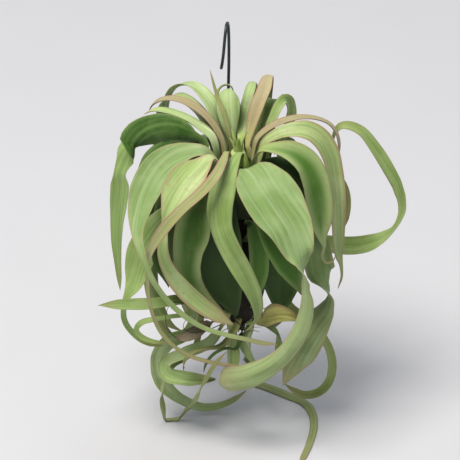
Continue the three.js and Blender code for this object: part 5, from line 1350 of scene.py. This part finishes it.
def lathed(outline, sides, bumps):
    """A closed, bumpy, lathed mesh, from [radius, height] pairs that end on the axis."""
    mesh = bpy.data.meshes.new("lathed")
    work = bmesh.new()
    low = work.verts.new(Vector((0, 0, outline[0][1])) * MM + STEM_FOOT)
    high = work.verts.new(Vector((0, 0, outline[-1][1])) * MM + STEM_FOOT)
    rings = []
    for radius, height in outline[1:-1]:
        ring = []
        for i in range(sides):
            spot = around(radius, 360 * i / sides, height)
            swell = bumps * noise.noise(Vector((
                spot.x * BUMPS_ACROSS, spot.y * BUMPS_ACROSS, spot.z * BUMPS_UP)))
            ring.append(work.verts.new(around(radius + swell, 360 * i / sides, height) * MM
                                       + STEM_FOOT))
        rings.append(ring)
    for i in range(sides):
        j = (i + 1) % sides
        work.faces.new((low, rings[0][j], rings[0][i]))
        work.faces.new((high, rings[-1][i], rings[-1][j]))
        for a, b in zip(rings, rings[1:]):
            work.faces.new((a[i], a[j], b[j], b[i]))
    for face in work.faces:
        face.smooth = True
    bmesh.ops.recalc_face_normals(work, faces=work.faces[:])
    work.to_mesh(mesh)
    work.free()
    return mesh


def fine_outline(low, high):
    """The stem's outline between two heights, a point every millimetre."""
    count = round(high - low)
    heights = [low + i * (high - low) / count for i in range(count)]
    return [[0, low], *[[max(stem_radius(z), LEAST_RADIUS), z] for z in heights], [0, high]]


def young_rows(index):
    """The spine of one of the heart's young leaves."""
    turn = index * YOUNG_TURN
    length = YOUNG_LENGTH * (1 - YOUNG_SHRINK * index)
    line = Line([
        around(YOUNG_ROOT_RADIUS, turn, HEART_TOP_Z - YOUNG_ROOT_DEPTH),
        around(YOUNG_MIDDLE_RADIUS, turn, HEART_TOP_Z + length * YOUNG_WIDTHS[1][0]),
        around(YOUNG_TIP_RADIUS + length * YOUNG_TIP_LEAN, turn, HEART_TOP_Z + length),
    ])
    rows = []
    for i in range(YOUNG_ROWS + 1):
        share = i / YOUNG_ROWS
        tangent = line.tangent(share)
        face = squared(look_at({}, share, line.point(share)), tangent)
        half = read_at(YOUNG_WIDTHS, share) / 2
        point_out = min((1 - share) * YOUNG_BLUNTNESS, 1) ** TIP_POWER
        rows.append(dict(
            point=line.point(share), side=tangent.cross(face), face=face,
            section=(half * point_out * MM, 2 * half * ROOT_CHANNEL * MM, point_out),
            run=(share * line.length * MM, YOUNG_COLOURS_FROM + share * YOUNG_COLOURS_SPAN,
                 0.0)))
    return rows


def joined(meshes, material):
    """Several meshes of one material as one."""
    work = bmesh.new()
    for mesh in meshes:
        work.from_mesh(mesh)
    whole = bpy.data.meshes.new("joined")
    work.to_mesh(whole)
    work.free()
    whole.materials.append(material)
    return whole


def round_rows(line, radius, taper):
    """The spine of a round wire or root, domed at its ends, its far end thinner by a share."""
    count = max(round(line.length / ROUND_SPACING), LEAST_ROUND_ROWS)
    side = Vector((1, 0, 0))
    rows = []
    for i in range(count + 1):
        share = i / count
        tangent = line.tangent(share)
        side = squared(side, tangent)
        thin = 1 - taper * share
        end = min(share, 1 - share) * line.length / (radius * thin)
        close = thin * math.sqrt(max(1 - (1 - min(end, 1)) ** 2, 0))
        rows.append(dict(
            point=line.point(share), side=side, face=side.cross(tangent),
            section=(radius * close * MM, 0.0, close),
            run=(share * line.length * MM, share, 0.0)))
    return rows


def root_line(draw):
    """One dead root: out of the stem's foot, then down and to one side."""
    azimuth, height = draw.uniform(0, 360), draw.uniform(*DEAD_ROOT_HEIGHTS)
    reach = draw.uniform(*DEAD_ROOT_REACH)
    turn = draw.uniform(-DEAD_ROOT_TURN, DEAD_ROOT_TURN)
    points = []
    for share in DEAD_ROOT_SHARES:
        sway = draw.uniform(-1, 1) * share
        points.append(around(
            stem_radius(height) - DEAD_ROOT_SINK + reach * share * DEAD_ROOT_OUT + sway,
            azimuth + turn * share ** 2,
            height - reach * DEAD_ROOT_FALL * share ** 1.5 + sway))
    return Line(points)


class AIR_PLANT_OT_stem(bpy.types.Operator):
    """Adds the short swollen stem with its fine dead roots"""

    bl_idname = "air_plant.add_stem"
    bl_label = "Stem"

    def execute(self, context):
        mesh = lathed(fine_outline(0, HEART_Z - SEAT_GAP), STEM_SIDES, STEM_BUMPS)
        mesh.materials.append(bark_material())
        finish_piece("stem_fibrous", mesh, "stem")
        draw = random.Random(DEAD_ROOT_SEED)
        lines = [root_line(draw) for _ in range(DEAD_ROOTS)]
        lines += [Line([from_view(point) for point in route]) for route in DEAD_THREADS]
        dry = root_material()
        roots = [
            grown(f"root_{i}", round_rows(line, DEAD_ROOT_RADIUS, DEAD_ROOT_TAPER),
                  DEAD_ROOT_COLUMNS, 2 * DEAD_ROOT_RADIUS * MM, dry)
            for i, line in enumerate(lines)]
        finish_piece("stem_dead_roots", joined(roots, dry), "stem")
        return {"FINISHED"}


class AIR_PLANT_OT_heart(bpy.types.Operator):
    """Adds the heart of clasping sheaths with its young leaves"""

    bl_idname = "air_plant.add_heart"
    bl_label = "Heart"

    def execute(self, context):
        cone = lathed(fine_outline(HEART_Z, HEART_TOP_Z + 1), HEART_SIDES, HEART_BUMPS)
        cone.materials.append(heart_material())
        finish_piece("heart_sheaths", cone, "heart")
        green = material_for("young")
        young = [
            grown(f"young_{i}", young_rows(i), ROUND_COLUMNS, LEAF_THICKNESS * MM, green,
                  seed=i / YOUNG_LEAVES)
            for i in range(YOUNG_LEAVES)]
        finish_piece("heart_young_leaves", joined(young, green), "heart")
        return {"FINISHED"}


class AIR_PLANT_OT_upper_leaves(bpy.types.Operator):
    """Adds the leaves at the back and top of the rosette"""

    bl_idname = "air_plant.add_upper_leaves"
    bl_label = "Upper Leaves"

    def execute(self, context):
        add_leaves(context, "leaf_back")
        return {"FINISHED"}


class AIR_PLANT_OT_side_leaves(bpy.types.Operator):
    """Adds the leaves at the left and right of the rosette"""

    bl_idname = "air_plant.add_side_leaves"
    bl_label = "Side Leaves"

    def execute(self, context):
        add_leaves(context, "leaf_left", "leaf_far", "leaf_right")
        return {"FINISHED"}


class AIR_PLANT_OT_front_leaves(bpy.types.Operator):
    """Adds the broad leaves that fall over the front"""

    bl_idname = "air_plant.add_front_leaves"
    bl_label = "Front Leaves"

    def execute(self, context):
        add_leaves(context, "leaf_front")
        return {"FINISHED"}


class AIR_PLANT_OT_lower_leaves(bpy.types.Operator):
    """Adds the low curls, the trailing leaf and the old sheaths"""

    bl_idname = "air_plant.add_lower_leaves"
    bl_label = "Lower Leaves"

    def execute(self, context):
        add_leaves(context, "leaf_lower", "leaf_under", "leaf_trailing", "leaf_olive", "sheath")
        return {"FINISHED"}


class AIR_PLANT_OT_rear_leaves(bpy.types.Operator):
    """Adds the leaves of the hidden back"""

    bl_idname = "air_plant.add_rear_leaves"
    bl_label = "Rear Leaves"

    def execute(self, context):
        for leaf in rear_leaves():
            add_leaf(context.scene.air_plant_shape, leaf)
        return {"FINISHED"}


class AIR_PLANT_OT_wire(bpy.types.Operator):
    """Adds the wire hanger with its narrow hook"""

    bl_idname = "air_plant.add_wire"
    bl_label = "Wire Hanger"

    def execute(self, context):
        rows = round_rows(Line([Vector(point) for point in WIRE_ROUTE]), WIRE_RADIUS, 0.0)
        mesh = grown("wire", rows, ROUND_COLUMNS, 2 * WIRE_RADIUS * MM, wire_material())
        finish_piece("wire_hanger_round", mesh, "wire_hanger")
        return {"FINISHED"}


class AIR_PLANT_OT_stage(bpy.types.Operator):
    """Adds the floor, the lights, the room's light and the camera"""

    bl_idname = "air_plant.add_stage"
    bl_label = "Stage"

    def execute(self, context):
        looks = context.scene.air_plant_looks
        half = looks.floor_size / 2
        mesh = bpy.data.meshes.new("floor")
        mesh.from_pydata(
            [(-half, -half, 0), (half, -half, 0), (half, half, 0), (-half, half, 0)], [],
            [(0, 1, 2, 3)])
        mesh.materials.append(floor_material())
        floor = bpy.data.objects.new("floor", mesh)
        context.scene.collection.objects.link(floor)
        # Each light's name, place and size in metres, power and colour.
        lights = [
            ("key", (-0.35, -0.4, 1.35), 0.6, looks.key_power, "#fffaf2"),
            ("fill", (0.3, 0.9, 1.2), 0.9, looks.fill_power, "#f8f8ff"),
        ]
        for name, spot, size, power, hex_colour in lights:
            data = bpy.data.lights.new(name, "AREA")
            data.size = size
            data.energy = power
            data.color = srgb(hex_colour)[:3]
            light = bpy.data.objects.new(name, data)
            light.location = spot
            light.rotation_euler = (LIT_MIDDLE - Vector(spot)).to_track_quat("-Z", "Y").to_euler()
            context.scene.collection.objects.link(light)
        world = bpy.data.worlds.new("room")
        world.use_nodes = True
        ground = world.node_tree.nodes["Background"]
        ground.inputs["Color"].default_value = looks.sky_colour
        ground.inputs["Strength"].default_value = looks.sky_strength
        context.scene.world = world
        context.scene.view_settings.view_transform = "Standard"
        add_camera(context.scene)
        return {"FINISHED"}


def add_camera(scene):
    """A long lens that looks down on the crown by the view's tilt."""
    data = bpy.data.cameras.new("camera")
    data.sensor_width = SENSOR
    data.lens = SENSOR * CAMERA_DISTANCE / (FRAME_PIXELS * PIXEL * MM)
    data.clip_end = 50
    camera = bpy.data.objects.new("camera", data)
    target = from_view(FRAME_CENTRE) * MM + STEM_FOOT
    back = Vector((0, -math.cos(VIEW_TILT), math.sin(VIEW_TILT)))
    camera.location = target + back * CAMERA_DISTANCE
    camera.rotation_euler = (-back).to_track_quat("-Z", "Y").to_euler()
    scene.collection.objects.link(camera)
    scene.camera = camera


PIECES = [
    AIR_PLANT_OT_stem, AIR_PLANT_OT_heart, AIR_PLANT_OT_upper_leaves,
    AIR_PLANT_OT_side_leaves, AIR_PLANT_OT_front_leaves, AIR_PLANT_OT_lower_leaves,
    AIR_PLANT_OT_rear_leaves, AIR_PLANT_OT_wire, AIR_PLANT_OT_stage,
]


class AIR_PLANT_PT_panel(bpy.types.Panel):
    """Lists the plant's pieces"""

    bl_idname = "AIR_PLANT_PT_panel"
    bl_label = "Air Plant"
    bl_space_type = "VIEW_3D"
    bl_region_type = "UI"
    bl_category = "Air Plant"

    def draw(self, context):
        column = self.layout.column()
        for settings in (context.scene.air_plant_shape, context.scene.air_plant_looks):
            for name in settings.__annotations__:
                column.prop(settings, name)
        for piece in PIECES:
            column.operator(piece.bl_idname)


CLASSES = [AirPlantShape, AirPlantLooks, *PIECES, AIR_PLANT_PT_panel]


def register():
    """Registers the classes and gives the scene their settings."""
    for made in CLASSES:
        bpy.utils.register_class(made)
    bpy.types.Scene.air_plant_shape = PointerProperty(type=AirPlantShape)
    bpy.types.Scene.air_plant_looks = PointerProperty(type=AirPlantLooks)


def unregister():
    """Undoes register."""
    del bpy.types.Scene.air_plant_looks
    del bpy.types.Scene.air_plant_shape
    for made in reversed(CLASSES):
        bpy.utils.unregister_class(made)


def main():
    """Builds the plant and its stage."""
    register()
    bpy.ops.air_plant.add_stem()
    bpy.ops.air_plant.add_heart()
    bpy.ops.air_plant.add_upper_leaves()
    bpy.ops.air_plant.add_side_leaves()
    bpy.ops.air_plant.add_front_leaves()
    bpy.ops.air_plant.add_lower_leaves()
    bpy.ops.air_plant.add_rear_leaves()
    bpy.ops.air_plant.add_wire()
    bpy.ops.air_plant.add_stage()


if __name__ == "__main__":
    main()
